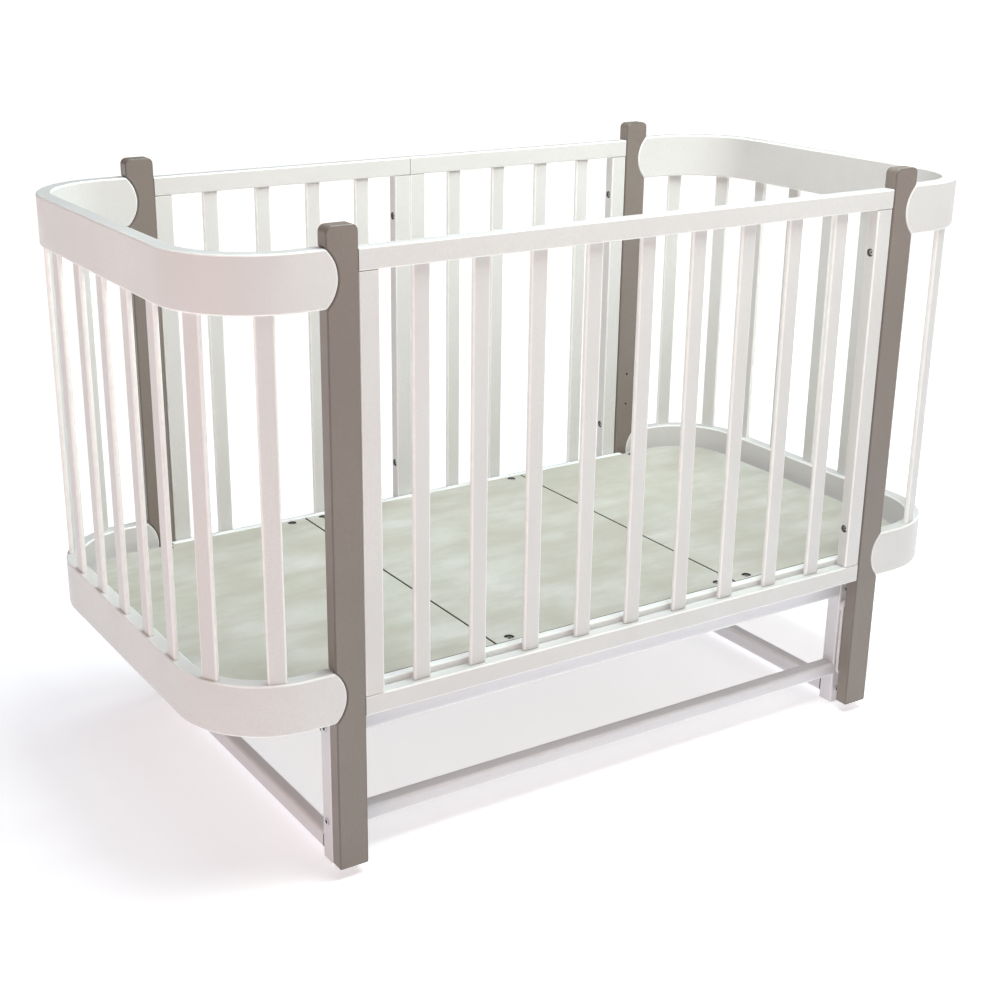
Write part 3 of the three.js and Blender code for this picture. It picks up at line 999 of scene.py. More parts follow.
class Workshop:
    """Makes finished pieces from surfaces, and keeps one material for each finish."""

    sharp_angle: float = math.radians(32)
    pattern_places: int = 977
    places_per_metre: float = 97.7

    def __init__(self) -> None:
        """Starts with no materials."""
        self.materials: dict[str, bpy.types.Material] = {}
        self.count = 0

    def material(self, finish: Finish) -> bpy.types.Material:
        """The finish's material, made once.

        Args:
            finish: The finish.

        Returns:
            Its material.
        """
        if finish.name not in self.materials:
            self.materials[finish.name] = finish.material()
        return self.materials[finish.name]

    def piece(
        self,
        name: str,
        surface: Surface,
        finish: Finish,
        body: str,
        stands_for: Sequence[str] = (),
        faceted: bool = False,
    ) -> None:
        """Makes one piece of the crib. Its name settles where in the pattern its own coordinates start.

        Args:
            name: The piece's name.
            surface: Its shape, in place.
            finish: Its finish.
            body: The moving body that carries it.
            stands_for: The frame's nodes that it is shown for.
            faceted: Whether its normals follow its facets, with sharp edges kept.
        """
        mesh = bpy.data.meshes.new(name)
        mesh.from_pydata(surface.points.tolist(), [], surface.faces)
        mesh.shade_smooth()
        if faceted:
            mesh.set_sharp_from_angle(angle=self.sharp_angle)
        else:
            mesh.normals_split_custom_set_from_vertices(surface.normals.tolist())
        offset = (zlib.crc32(name.encode()) % self.pattern_places) / self.places_per_metre
        own = (surface.own + offset).astype(np.float32)
        mesh.attributes.new("own", "FLOAT_VECTOR", "POINT").data.foreach_set("vector", own.ravel())
        for key in ("rim", "side", "bore"):
            values = getattr(surface, key).astype(np.float32)
            mesh.attributes.new(key, "FLOAT", "POINT").data.foreach_set("value", values)
        mesh.materials.append(self.material(finish))
        made = linked(name, mesh)
        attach(made, body)
        if stands_for:
            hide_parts(*stands_for)
        self.count += 1
        log.info("%s: %d faces on %s", name, len(surface.faces), body)

    def wood(self, node: str, surface: Surface, finish: Enamel = WHITE, body: Body = Body.CRIB) -> None:
        """Makes the wooden piece that stands for a node.

        Args:
            node: The node's name.
            surface: The piece's shape, in place.
            finish: Its paint.
            body: The body that carries it.
        """
        self.piece(f"{node}_wood", surface, finish, body.value, [node])

    def fitting(self, name: str, surface: Surface, body: Body = Body.CRIB) -> None:
        """Makes a turned zinc fitting that stands for no node."""
        self.piece(name, surface, ZINC, body.value, faceted=True)


def axes(u: Sequence[float], v: Sequence[float], w: Sequence[float]) -> np.ndarray:
    """Three directions as the rows of a matrix."""
    return np.array([u, v, w], float)


def bar_in(box: Box, along: int, radius: float, side_highlight: float = 0.0, end_edge: float = 0.6 * MM) -> Surface:
    """A straight bar that fills a box, with long edges rounded and ends cut square.

    Its end faces get painted shade, because they only show in the thin gap of a joint.

    Args:
        box: The space that it fills.
        along: The axis that it runs along: 0, 1 or 2.
        radius: The radius of its long edges.
        side_highlight: How far its sides across the first axis after that one take the painted highlight of
            the edges.
        end_edge: The radius of its end edges.

    Returns:
        The bar, in place.
    """
    first, second = (along + 1) % 3, (along + 2) % 3
    outline = rounded_rectangle(box.size[first], box.size[second], radius)
    bar = squared(outline, box.size[along], end_edge, side_highlight)
    return bar.placed(box.centre, AXES[[first, second, along]])


def squared(outline: Outline, length: float, end_edge: float, side_highlight: float = 0.0) -> Surface:
    """A bar of the given section, about the origin, along its third axis.

    Its sides across the first axis take the edge colour too, a painted highlight, by the given share
    times their normal's first share squared.

    Args:
        outline: Its section.
        length: Its length.
        end_edge: The radius of its end edges.
        side_highlight: How far these sides take the painted highlight.

    Returns:
        The bar, its end faces given painted shade.
    """
    end_steps, shaded_share = 2, 0.7
    shape = plate(outline, length, end_edge, Grain.ALONG_W, steps=end_steps)
    depth = length / 2 - np.abs(shape.points[:, 2])
    # Narrow faces take the edge colour too: a painted highlight.
    rim = np.maximum(shape.rim, side_highlight * shape.normals[:, 0] ** 2)
    # The end faces get painted shade, which fades out over the end rounding.
    return replace(shape, rim=rim, bore=np.clip(1 - depth / (shaded_share * end_edge), 0.0, 1.0))


def bored_bar(
    box: Box, facing: int, radius: float, holes: Sequence[Hole], end_edge: float = 0.6 * MM
) -> Surface:
    """An upright bar that fills a box, with blind holes in one of its narrow faces.

    It is a plate that lies in Y and Z. Its rounding is squeezed along Z at both ends, to the
    share end_edge / radius, so that the ends are cut square.

    Args:
        box: The space that it fills.
        facing: The sign of X that the bored face looks along.
        radius: The radius of its long edges.
        holes: The holes, placed from the face's middle in Y and Z.
        end_edge: The radius of its end edges.

    Returns:
        The bar, in place.
    """
    edge_steps, slack = 5, 1.01
    section = rounded_rectangle(box.size[1], box.size[2], radius)
    shape = plate(section, box.size[0], radius, Grain.ALONG_V, steps=edge_steps, holes=holes)
    points = shape.points.copy()
    reach = box.size[2] / 2
    margin = reach - np.abs(points[:, 1])
    squeezed = np.sign(points[:, 1]) * (reach - margin * end_edge / radius)
    points[:, 1] = np.where(margin < slack * radius, squeezed, points[:, 1])
    # Its end faces get painted shade, as they only show in the thin gap of a joint.
    ends = np.clip(2 * np.abs(shape.normals[:, 1]) - 1, 0.0, 1.0)
    bored = replace(shape, points=points, bore=np.maximum(shape.bore, ends))
    return bored.placed(box.centre, axes(Y, Z, facing * X))


# Sub-assemblies


@dataclass
class CornerPosts:
    """The four grey-brown corner posts, with round seats for the bent rails in their outer edges."""

    shop: Workshop
    edge: float = 2.2 * MM
    edge_steps: int = 6
    head_radius: float = 9 * MM
    head_steps: int = 10
    head_worn: float = 0.3
    foot_radius: float = 3 * MM
    foot_steps: int = 5
    foot_worn: float = 0.6
    horn_radius: float = 5 * MM
    horn_steps: int = 6
    horn_worn: float = 0.7
    seat_gap: float = 0.3 * MM
    seat_steps: int = 28
    spare_hole_radius: float = 2 * MM
    spare_hole_depth: float = 9 * MM
    spare_hole_pitch: float = 57 * MM
    spare_hole_places: tuple[int, ...] = (2, 3)
    spare_hole_shade: float = 0.6

    def outline(
        self, width: float, height: float, middles: Sequence[float], radius: float, depth: float
    ) -> Outline:
        """The post seen from the front, seats to the right, foot at zero.

        Up the right edge each seat is a hollow arc between two small horns, whose circles touch
        both the edge and the seat's circle.

        Args:
            width: The post's width.
            height: Its height.
            middles: The heights of the seats' middles.
            radius: The seats' radius.
            depth: How deep the seats are.

        Returns:
            The closed outline.
        """
        half, foot, horn, head = width / 2, self.foot_radius, self.horn_radius, self.head_radius
        arcs = [
            Arc((foot - half, foot), foot, math.pi, 3 * QUARTER, self.foot_steps, worn=self.foot_worn),
            Arc((half - foot, foot), foot, -QUARTER, 0.0, self.foot_steps, worn=self.foot_worn),
        ]
        seat_x = half - depth + radius
        run = seat_x - (half - horn)
        rise = math.sqrt((radius + horn) ** 2 - run**2)
        lean = math.atan2(rise, run)
        for middle in middles:
            seat, first, last = (seat_x, middle), math.pi + lean, math.pi - lean
            arcs += [
                Arc((half - horn, middle - rise), horn, 0.0, lean, self.horn_steps, worn=self.horn_worn),
                Arc(seat, radius, first, last, self.seat_steps, hollow=True, worn=0.0),
                Arc((half - horn, middle + rise), horn, -lean, 0.0, self.horn_steps, worn=self.horn_worn),
            ]
        top = height - head
        arcs += [
            Arc((half - head, top), head, 0.0, QUARTER, self.head_steps, worn=self.head_worn),
            Arc((head - half, top), head, QUARTER, math.pi, self.head_steps, worn=self.head_worn),
        ]
        return closed(arcs)

    def build(self) -> None:
        """Makes the four posts."""
        for row in Row:
            for end in End:
                self.post(row, end)

    def post(self, row: Row, end: End) -> None:
        """Makes one post in its node's place.

        Args:
            row: The side that it stands on.
            end: The end that it stands at.
        """
        node = f"post_{row.word}_{end.word}"
        box = Box.of(node)
        lower, upper = (Box.of(f"{level}_end_rail_{end.word}") for level in ("lower", "upper"))
        rail_height = upper.size[2]
        tip_depth = box.reach(0) - upper.start(0)
        middles = [rail.low[2] + rail_height / 2 - box.low[2] for rail in (lower, upper)]
        seat_radius = tip_circle(rail_height, tip_depth) + self.seat_gap
        shape = self.outline(box.size[0], box.size[2], middles, seat_radius, tip_depth + self.seat_gap)
        bearer = Box.of(f"base_bearer_{end.word}").centre[2] - box.low[2]
        holes = [
            Hole(
                (0.0, bearer + step * self.spare_hole_pitch), self.spare_hole_radius,
                self.spare_hole_depth, shade=self.spare_hole_shade,
            )
            for step in self.spare_hole_places
        ]
        surface = plate(shape, box.size[1], self.edge, Grain.ALONG_V, steps=self.edge_steps, holes=holes)
        origin = np.array([box.centre[0], box.centre[1], box.low[2]])
        self.shop.wood(node, surface.placed(origin, axes(end.value * X, Z, -row.value * Y)), TAUPE)


@dataclass
class BentEnds:
    """The bent rails at both ends, with nine slats standing between each pair."""

    shop: Workshop
    thickness: float = 22 * MM
    bend_outer_radius: float = 128 * MM
    tip_corner: float = 5 * MM
    edge: float = 3 * MM
    slat_edge: float = 3 * MM
    slat_end_edge: float = 0.3 * MM
    slat_outset: float = 3 * MM
    slat_flank: float = 1.0
    last_gap: float = 61.7 * MM
    slats_per_half: int = 4

    def build(self) -> None:
        """Makes both ends."""
        for end in End:
            self.end(end)

    def end(self, end: End) -> None:
        """Makes the two rails and nine slats of one end.

        Args:
            end: Which end.
        """
        upper, lower = f"upper_end_rail_{end.word}", f"lower_end_rail_{end.word}"
        box, low_box = Box.of(upper), Box.of(lower)
        height = box.size[2]
        path = EndPath(
            tip_x=box.start(0),
            bend_x=box.reach(0) - self.bend_outer_radius,
            bend_y=box.size[1] / 2 - self.bend_outer_radius,
            bend_radius=self.bend_outer_radius - self.thickness / 2,
        )
        tip_depth = Box.of(f"post_front_{end.word}").reach(0) - path.tip_x
        strip = bent_strip(path, height, self.thickness, tip_depth, self.tip_corner, self.edge)
        for node, z in ((upper, box.centre[2]), (lower, low_box.low[2] + height / 2)):
            self.shop.wood(node, strip.placed(z * Z, axes(end.value * X, Y, Z)))
        self.slats(end, path, tip_depth, low_box.low[2] + height, box.low[2])

    def slats(self, end: End, path: EndPath, tip_depth: float, bottom: float, top: float) -> None:
        """Makes the nine slats of one end, evenly spaced and a little outside the centre line.

        Args:
            end: Which end.
            path: The rails' centre line.
            tip_depth: How deep the rails' tips reach into the posts.
            bottom: The height of the lower rail's top.
            top: The height of the upper rail's underside.
        """
        width, thickness, _ = Box.of("front_slat_1").size
        last = path.length / 2 - tip_depth - self.last_gap - width / 2
        pitch = last / self.slats_per_half
        places = path.length / 2 + pitch * np.arange(-self.slats_per_half, self.slats_per_half + 1)
        centres, forward, outward = path.at(places)
        centres = centres + self.slat_outset * outward + (top + bottom) / 2 * Z
        section = rounded_rectangle(width, thickness, self.slat_edge)
        shape = squared(section, top - bottom, self.slat_end_edge, self.slat_flank)
        mirror = np.array([end.value, 1.0, 1.0])
        for i, (centre, ahead, out) in enumerate(zip(centres, forward, outward), 1):
            placed = shape.placed(centre * mirror, axes(ahead * mirror, out * mirror, Z))
            self.shop.piece(f"end_slat_{end.word}_{i}", placed, WHITE, Body.CRIB.value)


@dataclass
class SidePanels:
    """The slatted sides: one full-length panel in front, two half-length ones behind."""

    shop: Workshop
    rail_edge: float = 2.5 * MM
    slat_edge: float = 3 * MM
    slat_flank: float = 0.8
    slats_per_half: int = 4
    bolt: Turned = Turned(4.4 * MM, 2.6 * MM, socket=1.5 * MM, socket_depth=1.6 * MM, crown=1.8 * MM)
    front_bolt_inset: float = 62 * MM
    back_bolt_inset: float = 65 * MM
    bore_radius: float = 5.8 * MM
    bore_depth: float = 4.6 * MM
    bore_shade: float = 0.75

    def build(self) -> None:
        """Makes the front panel, both back panels and their bolts."""
        for end in End:
            self.stile(f"front_stile_{end.word}", -end.value, self.front_bolt_inset)
            self.back_panel(end)
        self.bar("front_top_rail", 0)
        self.bar("front_bottom_rail", 0)
        for i in range(2 * self.slats_per_half + 1):
            self.bar(f"front_slat_{i + 1}", 2, self.slat_edge, self.slat_flank)

    def bar(self, node: str, along: int, radius: float | None = None, side_highlight: float = 0.0) -> None:
        """Makes the bar that a node holds.

        Args:
            node: The node's name.
            along: The axis that it runs along.
            radius: The radius of its long edges, the rails' own where none is given.
            side_highlight: How far its narrow faces take the painted highlight of the edges.
        """
        self.shop.wood(node, bar_in(Box.of(node), along, radius or self.rail_edge, side_highlight))

    def back_panel(self, end: End) -> None:
        """Makes one half-length panel of the back.

        Args:
            end: The end that it lies towards.
        """
        name = f"back_{end.word}"
        self.bar(f"{name}_top_rail", 0)
        self.stile(f"{name}_outer_stile", -end.value, self.back_bolt_inset)
        self.stile(f"{name}_centre_stile", end.value, self.back_bolt_inset)
        sill, front = Box.of(f"{name}_bottom_rail"), Box.of("front_bottom_rail")
        high = np.array([sill.high[0], sill.high[1], front.high[2]])
        self.shop.wood(f"{name}_bottom_rail", bar_in(Box(sill.low, high), 0, self.rail_edge))
        for i in range(1, self.slats_per_half + 1):
            twin = Box.of(f"front_slat_{self.slats_per_half + 1 + end.value * i}")
            shift = np.array([0.0, -2 * twin.centre[1], 0.0])
            slat = bar_in(Box(twin.low + shift, twin.high + shift), 2, self.slat_edge, self.slat_flank)
            self.shop.piece(f"{name}_slat_{i}", slat, WHITE, Body.CRIB.value)

    def stile(self, node: str, facing: int, inset: float) -> None:
        """Makes a stile with two bolts sunk in its narrow face.

        Args:
            node: The stile's node.
            facing: The sign of X that the bored face looks along.
            inset: How far the bolts are from its ends.
        """
        box = Box.of(node)
        reach = box.size[2] / 2 - inset
        holes = [
            Hole((0.0, z), self.bore_radius, self.bore_depth, shade=self.bore_shade)
            for z in (reach, -reach)
        ]
        self.shop.wood(node, bored_bar(box, facing, self.rail_edge, holes))
        seat_x = box.face(0, facing) - facing * self.bore_depth
        head = self.bolt.surface()
        for word, z in (("upper", reach), ("lower", -reach)):
            place = np.array([seat_x, box.centre[1], box.centre[2] + z])
            self.shop.fitting(f"{node}_{word}_bolt", head.placed(place, axes(Y, Z, facing * X)))


@dataclass
class BedBase:
    """Three laminate boards screwed to a frame of bearers and ledgers."""

    shop: Workshop
    edge: float = 1.2 * MM
    edge_steps: int = 3
    round_radius: float = 92.5 * MM
    round_steps: int = 32
    corner_radius: float = 1.6 * MM
    corner_steps: int = 3
    recess_radius: float = 7 * MM
    recess_depth: float = 3.4 * MM
    recess_sides: int = 36
    recess_shade: float = 0.85
    screw: Turned = Turned(5.9 * MM, 1.2 * MM, socket=1.8 * MM, socket_depth=0.9 * MM, crown=0.5 * MM)
    screw_from_edge: float = 11 * MM
    screw_from_joint: float = 27.5 * MM
    screw_drift: float = 3.5 * MM
    clearance: float = 0.3 * MM
    frame_edge: float = 2 * MM
    frame_steps: int = 5
    frame_end_edge: float = 0.5 * MM
    rebate_edge: float = 0.6 * MM
    rebate_steps: int = 3

    def build(self) -> None:
        """Makes the boards and the frame under them."""
        self.board("base_board_centre", [-1, 1])
        for end in End:
            self.board(f"base_board_{end.word}", [-end.value], end)
            self.bearer(end)
        for row in Row:
            self.ledger(row)

    def bearer(self, end: End) -> None:
        """Makes the bar that runs across the crib between two posts."""
        node = f"base_bearer_{end.word}"
        self.shop.wood(node, bar_in(Box.of(node), 1, self.frame_edge))

    def ledger(self, row: Row) -> None:
        """Makes a long bar of the frame: the boards lie in its rebate, beside its lip.

        In its own axes, outwards and up, the section is a rectangle with a rounded hollow corner
        between the shelf and the lip.

        Args:
            row: The side that it runs along.
        """
        node = f"base_ledger_{row.word}"
        box, board = Box.of(node), Box.of("base_board_centre")
        out, up = box.size[1] / 2, box.size[2] / 2
        lip_u = out - (box.reach(1) - board.high[1] - self.clearance)
        shelf_v = Box.of("base_bearer_left").high[2] - box.centre[2]
        wide, small = self.frame_edge, self.rebate_edge
        wide_steps, small_steps = self.frame_steps, self.rebate_steps
        section = closed([
            Arc((wide - out, wide - up), wide, -2 * QUARTER, -QUARTER, wide_steps),
            Arc((out - wide, wide - up), wide, -QUARTER, 0.0, wide_steps),
            Arc((out - wide, up - wide), wide, 0.0, QUARTER, wide_steps),
            Arc((lip_u + small, up - small), small, QUARTER, 2 * QUARTER, small_steps),
            Arc((lip_u - small, shelf_v + small), small, 0.0, -QUARTER, small_steps, hollow=True, worn=0.0),
            Arc((small - out, shelf_v - small), small, QUARTER, 2 * QUARTER, small_steps),
        ])
        bar = squared(section, box.size[0], self.frame_end_edge)
        # The ledger takes the lit copy of the white paint: painted light.
        self.shop.wood(node, bar.placed(box.centre, axes(row.value * Y, Z, X)), LIT_WHITE)

    def board(self, node: str, joints: Sequence[int], round_end: End | None = None) -> None:
        """Makes one board with screws near its joints.

        Args:
            node: The board's node.
            joints: The signs of X at which it meets another board.
            round_end: The end where its corners are round, if it has one.
        """
        box = Box.of(node)
        length, width, thickness = box.size
        corners = []
        for i, (sx, sy) in enumerate(((1, -1), (1, 1), (-1, 1), (-1, -1))):
            radius, steps = self.corner_radius, self.corner_steps
            if round_end and sx == round_end.value:
                radius, steps = self.round_radius, self.round_steps
            centre = (sx * (length / 2 - radius), sy * (width / 2 - radius))
            corners.append(Arc(centre, radius, (i - 1) * QUARTER, i * QUARTER, steps, worn=0.0))
        spots = []
        for sign in joints:
            drift = self.screw_drift if box.face(0, sign) > 0 else 0.0
            spots.append(sign * (length / 2 - self.screw_from_joint) + drift)
        if round_end:
            spots.append(Box.of(f"base_bearer_{round_end.word}").centre[0] - box.centre[0])
        places = [(u, side * (width / 2 - self.screw_from_edge)) for u in spots for side in (-1, 1)]
        recess = Hole(
            (0.0, 0.0),
            self.recess_radius,
            self.recess_depth,
            sides=self.recess_sides,
            shade=self.recess_shade,
        )
        holes = [replace(recess, place=place) for place in places]
        surface = plate(
            closed(corners), thickness, self.edge, Grain.ALONG_U, steps=self.edge_steps, holes=holes
        ).placed(box.centre, AXES)
        self.shop.piece(f"{node}_laminate", surface, SAGE, Body.CRIB.value, [node])
        head = self.screw.surface()
        for i, (u, v) in enumerate(places, 1):
            place = np.array([box.centre[0] + u, box.centre[1] + v, box.high[2] - self.recess_depth])
            self.shop.fitting(f"{node}_screw_{i}", head.placed(place, AXES))


@dataclass
class FloorStand:
    """The cool white stand that carries the swing arms."""

    shop: Workshop
    leg_edge: float = 3 * MM
    rail_edge: float = 6 * MM
    end_edge: float = 0.5 * MM
    bolt: Turned = Turned(5.2 * MM, 1.6 * MM, socket=2.6 * MM, socket_depth=1.3 * MM, crown=0.6 * MM)

    def build(self) -> None:
        """Makes the legs, the cross rails, the long rails and their bolts."""
        for end in End:
            for row in Row:
                node = f"stand_leg_{row.word}_{end.word}"
                self.bar(node, 2, self.leg_edge)
                self.leg_bolts(node, row, end)
            for level in ("upper", "lower"):
                self.bar(f"stand_{level}_cross_rail_{end.word}", 1, self.rail_edge)
        for row in Row:
            for level in ("upper", "lower"):
                self.bar(f"stand_{level}_rail_{row.word}", 0, self.rail_edge)

    def bar(self, node: str, along: int, radius: float) -> None:
        """Makes the bar that a node holds.

        Args:
            node: The node's name.
            along: The axis that it runs along.
            radius: The radius of its long edges.
        """
        surface = bar_in(Box.of(node), along, radius, end_edge=self.end_edge)
        self.shop.wood(node, surface, COOL_WHITE, Body.STAND)

    def leg_bolts(self, leg: str, row: Row, end: End) -> None:
        """Sets a bolt in the leg's outer faces for each rail that ends on the leg.

        Args:
            leg: The leg's node.
            row: The side that it stands on.
            end: The end that it stands at.
        """
        box = Box.of(leg)
        head = self.bolt.surface()
        outer_x, outer_y = box.face(0, end.value), box.face(1, row.value)
        for level in ("upper", "lower"):
            long_z = Box.of(f"stand_{level}_rail_{row.word}").centre[2]
            cross_z = Box.of(f"stand_{level}_cross_rail_{end.word}").centre[2]
            side = head.placed(np.array([outer_x, box.centre[1], long_z]), axes(Y, Z, end.value * X))
            self.shop.fitting(f"{leg}_{level}_side_bolt", side, Body.STAND)
            face = head.placed(np.array([box.centre[0], outer_y, cross_z]), axes(X, Z, row.value * Y))
            self.shop.fitting(f"{leg}_{level}_face_bolt", face, Body.STAND)


@dataclass
class SwingArms:
    """Four steel arms, each on two pivot bolts between a leg of the stand and a post of the crib."""

    shop: Workshop
    plate_thickness: float = 6 * MM
    edge: float = 1.2 * MM
    end_flat: float = 0.01 * MM
    end_steps: int = 24
    hub_radius: float = 11 * MM
    hub_edge: float = 0.8 * MM
    hub_sides: int = 48
    head: Turned = Turned(7 * MM, 3.2 * MM, socket=2.9 * MM, socket_depth=2.2 * MM, crown=1.2 * MM)
    head_gap: float = 0.3 * MM
    shank_radius: float = 4 * MM
    shank_edge: float = 0.8 * MM
    shank_sides: int = 24
    shank_overlap: float = 0.1 * MM

    def build(self) -> None:
        """Makes the arms and the heads of their bolts."""
        for row in Row:
            for end in End:
                self.arm(row, end)

    def arm(self, row: Row, end: End) -> None:
        """Makes one arm with its two hubs and bolt heads.

        Args:
            row: The side that it hangs on.
            end: The end that it hangs at.
        """
        corner = f"{row.word}_{end.word}"
        node = f"swing_arm_{corner}"
        box = Box.of(node)
        centre, (width, depth, height) = box.centre, box.size
        out = row.value * Y
        round_ended = rounded_rectangle(width, height, width / 2 - self.end_flat, self.end_steps)
        bar = plate(round_ended, self.plate_thickness, self.edge, Grain.ALONG_V)
        hub_length = (depth - self.plate_thickness) / 2
        hub = plate(circle(self.hub_radius, self.hub_sides), hub_length, self.hub_edge, Grain.ALONG_W)
        parts = [bar.placed(centre, axes(X, Z, out))]
        pivot = height / 2 - width / 2
        for up in (1, -1):
            place = centre + up * (pivot * Z - out * (self.plate_thickness + hub_length) / 2)
            parts.append(hub.placed(place, axes(X, Z, out)))
        self.shop.piece(f"{node}_steel", joined(parts), ARM_WHITE, f"arm_{corner}", [node])
        head = self.head.surface()
        for level, up, body in (("upper", 1, Body.STAND), ("lower", -1, Body.CRIB)):
            bolt = f"{level}_pivot_bolt_{corner}"
            seat = centre + up * (pivot * Z + out * (self.plate_thickness / 2 + self.head_gap))
            parts = [head.placed(seat, axes(X, Z, up * out)), self.shank(bolt, up * row.value, seat)]
            self.shop.piece(f"{bolt}_steel", joined(parts), ZINC, body.value, [bolt], faceted=True)

    def shank(self, bolt: str, facing: int, seat: np.ndarray) -> Surface:
        """The part of a pivot bolt behind its head.

        Args:
            bolt: The bolt's node.
            facing: The sign of Y that the bolt's head looks along.
            seat: The middle of the head's seat.

        Returns:
            The shank, in place.
        """
        end_y = Box.of(bolt).face(1, -facing)
        start_y = seat[1] - facing * self.shank_overlap
        section = circle(self.shank_radius, self.shank_sides)
        rod = plate(section, abs(start_y - end_y), self.shank_edge, Grain.ALONG_W)
        middle = np.array([seat[0], (start_y + end_y) / 2, seat[2]])
        return rod.placed(middle, axes(X, Z, facing * Y))


@dataclass(frozen=True)
class Lamp:
    """One square soft lamp."""

    name: str
    place: Place
    target: Place
    size: float
    power: float
    colour: Colour

    def build(self) -> None:
        """Hangs the lamp at its place, facing its target."""
        data = bpy.data.lights.new(self.name, "AREA")
        data.shape = "SQUARE"
        data.size = self.size
        data.energy = self.power
        data.color = self.colour
        made = linked(self.name, data)
        made.location = self.place
        made.rotation_mode = "QUATERNION"
        made.rotation_quaternion = (Vector(self.target) - Vector(self.place)).to_track_quat("-Z", "Y")
        made.visible_camera = False


def dimmed(colour: Colour, share: float) -> Colour:
    """The colour times a share."""
    return tuple(share * value for value in colour)


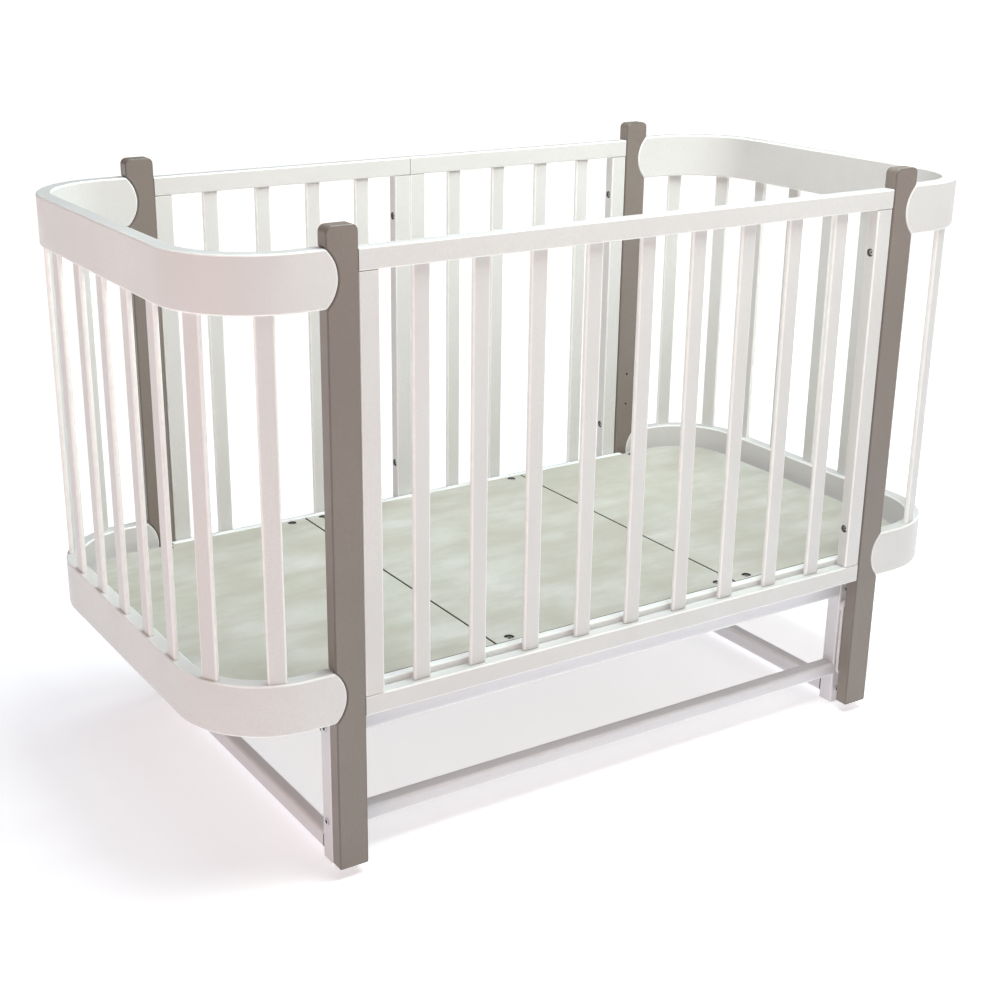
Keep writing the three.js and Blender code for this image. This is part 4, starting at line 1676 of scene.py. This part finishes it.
@dataclass
class Studio:
    """Pale floor, soft light and a camera at the photograph's angle."""

    azimuth: float = 0.564
    elevation: float = 0.352
    roll: float = 0.007
    camera_place: Place = (-1.3223, -1.9614, 1.1982)
    lens: float = 57.74
    sensor_width: float = 36.0
    shift: tuple[float, float] = (0.0338, 0.0110)
    floor_reach: float = 30.0
    floor_colour: Colour = (0.92, 0.92, 0.92)
    floor_shade: float = 0.985
    floor_mottle_scale: float = 1.5
    near_glow: Colour = (0.430, 0.437, 0.458)
    far_glow: Colour = (0.95, 0.95, 0.93)
    glow_near: float = 0.9
    glow_far: float = 5.0
    backdrop_radius: float = 29.0
    backdrop_height: float = 60.0
    backdrop_sides: int = 96
    backdrop_glow: Colour = (1.0, 1.0, 1.0)
    backdrop_shade: float = 0.99
    backdrop_mottle_scale: float = 0.2
    sky_colour: Colour = (0.20, 0.15, 0.15)
    lamps: tuple[Lamp, ...] = (
        Lamp("crib_lamp", (0.3, -0.5, 2.1), (0.2, 0.2, 0.4), 1.2, 35.1, (0.93, 1.0, 0.93)),
        Lamp("top_lamp", (0.0, 0.0, 3.2), (0.0, 0.0, 0.45), 3.0, 31.0, (0.50, 0.85, 1.0)),
        Lamp("front_lamp", (-2.6, -2.4, 1.8), (0.0, 0.0, 0.45), 2.0, 17.9, (1.0, 0.63, 0.51)),
        Lamp("left_lamp", (-2.0, -0.6, 0.9), (0.0, 0.0, 0.4), 1.2, 3.0, (1.0, 0.70, 0.62)),
        Lamp("right_lamp", (3.4, 0.6, 2.2), (0.0, 0.0, 0.45), 2.4, 36.0, (1.0, 1.0, 1.0)),
    )

    def build(self) -> None:
        """Makes the camera, the floor, the backdrop and the lights."""
        self.camera()
        self.floor()
        self.backdrop()
        self.lights()
        bpy.context.scene.view_settings.view_transform = "Standard"

    def camera(self) -> None:
        """Sets the camera by its viewing direction, turned by the roll about it."""
        across = Vector((math.cos(self.azimuth), -math.sin(self.azimuth), 0.0))
        level = math.cos(self.elevation)
        ahead = Vector((
            math.sin(self.azimuth) * level, math.cos(self.azimuth) * level, -math.sin(self.elevation),
        ))
        up = across.cross(ahead)
        right = across * math.cos(self.roll) + up * math.sin(self.roll)
        top = up * math.cos(self.roll) - across * math.sin(self.roll)
        data = bpy.data.cameras.new("camera")
        data.lens = self.lens
        data.sensor_width = self.sensor_width
        data.shift_x, data.shift_y = self.shift
        made = linked("camera", data)
        made.matrix_world = Matrix((
            (right.x, top.x, -ahead.x, self.camera_place[0]),
            (right.y, top.y, -ahead.y, self.camera_place[1]),
            (right.z, top.z, -ahead.z, self.camera_place[2]),
            (0.0, 0.0, 0.0, 1.0),
        ))
        bpy.context.scene.camera = made

    def scenery(
        self, name: str, points: list[Place], faces: list[tuple[int, ...]], look: bpy.types.Material
    ) -> bpy.types.Object:
        """Makes a surface of the studio, which isn't part of the crib.

        Args:
            name: Its name.
            points: Its points.
            faces: Its faces.
            look: Its material.

        Returns:
            The object.
        """
        mesh = bpy.data.meshes.new(name)
        mesh.from_pydata(points, [], faces)
        mesh.materials.append(look)
        made = linked(name, mesh)
        return made

    def floor(self) -> None:
        """Lays a wide pale floor with a faint mottle and a faint glow, brighter far from the crib."""
        reach = self.floor_reach
        corners = [(-reach, -reach, 0.0), (reach, -reach, 0.0), (reach, reach, 0.0), (-reach, reach, 0.0)]
        w = Wiring("floor")
        place = w.node("TexCoord").outputs["Object"]
        cloud = w.noise(place, self.floor_mottle_scale, 3.0)
        shader = w.shader(Specular_IOR_Level=0.2, Roughness=0.8, Emission_Strength=1.0)
        dark = dimmed(self.floor_colour, self.floor_shade)
        w.join(w.mixed(cloud, self.floor_colour, dark), shader.inputs["Base Color"])
        distance = w.node("VectorMath", operation="LENGTH")
        w.join(place, distance.inputs[0])
        far = w.ranged(distance.outputs["Value"], self.glow_near, self.glow_far)
        w.join(w.mixed(far, self.near_glow, self.far_glow), shader.inputs["Emission Color"])
        self.scenery("floor", corners, [(0, 1, 2, 3)], w.material)

    def backdrop(self) -> None:
        """Stands a tall round pale wall near the floor's edge, which shows but throws no light.

        Its points are a circle of backdrop_radius, once at the floor and once at backdrop_height.
        """
        ring = circle(self.backdrop_radius, self.backdrop_sides).points
        heights = np.repeat([0.0, self.backdrop_height], self.backdrop_sides)
        points = np.column_stack([np.tile(ring, (2, 1)), heights])
        numbers = np.arange(len(points)).reshape(2, self.backdrop_sides)
        w = Wiring("backdrop")
        cloud = w.noise(w.node("TexCoord").outputs["Object"], self.backdrop_mottle_scale)
        shader = w.shader(Base_Color=(0.0, 0.0, 0.0, 1.0), Specular_IOR_Level=0.0, Emission_Strength=1.0)
        dark = dimmed(self.backdrop_glow, self.backdrop_shade)
        w.join(w.mixed(cloud, self.backdrop_glow, dark), shader.inputs["Emission Color"])
        made = self.scenery("backdrop", points.tolist(), band(numbers[0], numbers[1]), w.material)
        for ray in ("diffuse", "glossy", "transmission", "volume_scatter", "shadow"):
            setattr(made, f"visible_{ray}", False)

    def lights(self) -> None:
        """Sets an even sky and hangs the lamps."""
        world = bpy.data.worlds.new("sky")
        world.use_nodes = True
        background = world.node_tree.nodes["Background"]
        background.inputs["Color"].default_value = (*self.sky_colour, 1.0)
        bpy.context.scene.world = world
        for lamp in self.lamps:
            lamp.build()


def main() -> None:
    """Builds the studio and the crib, one sub-assembly after another."""
    logging.basicConfig(level=logging.INFO, format="%(message)s", stream=sys.stdout)
    Studio().build()
    shop = Workshop()
    for kind in (CornerPosts, BentEnds, SidePanels, BedBase, FloorStand, SwingArms):
        before = shop.count
        kind(shop).build()
        log.info("%s: %d pieces", kind.__name__, shop.count - before)


if __name__ == "__main__":
    main()
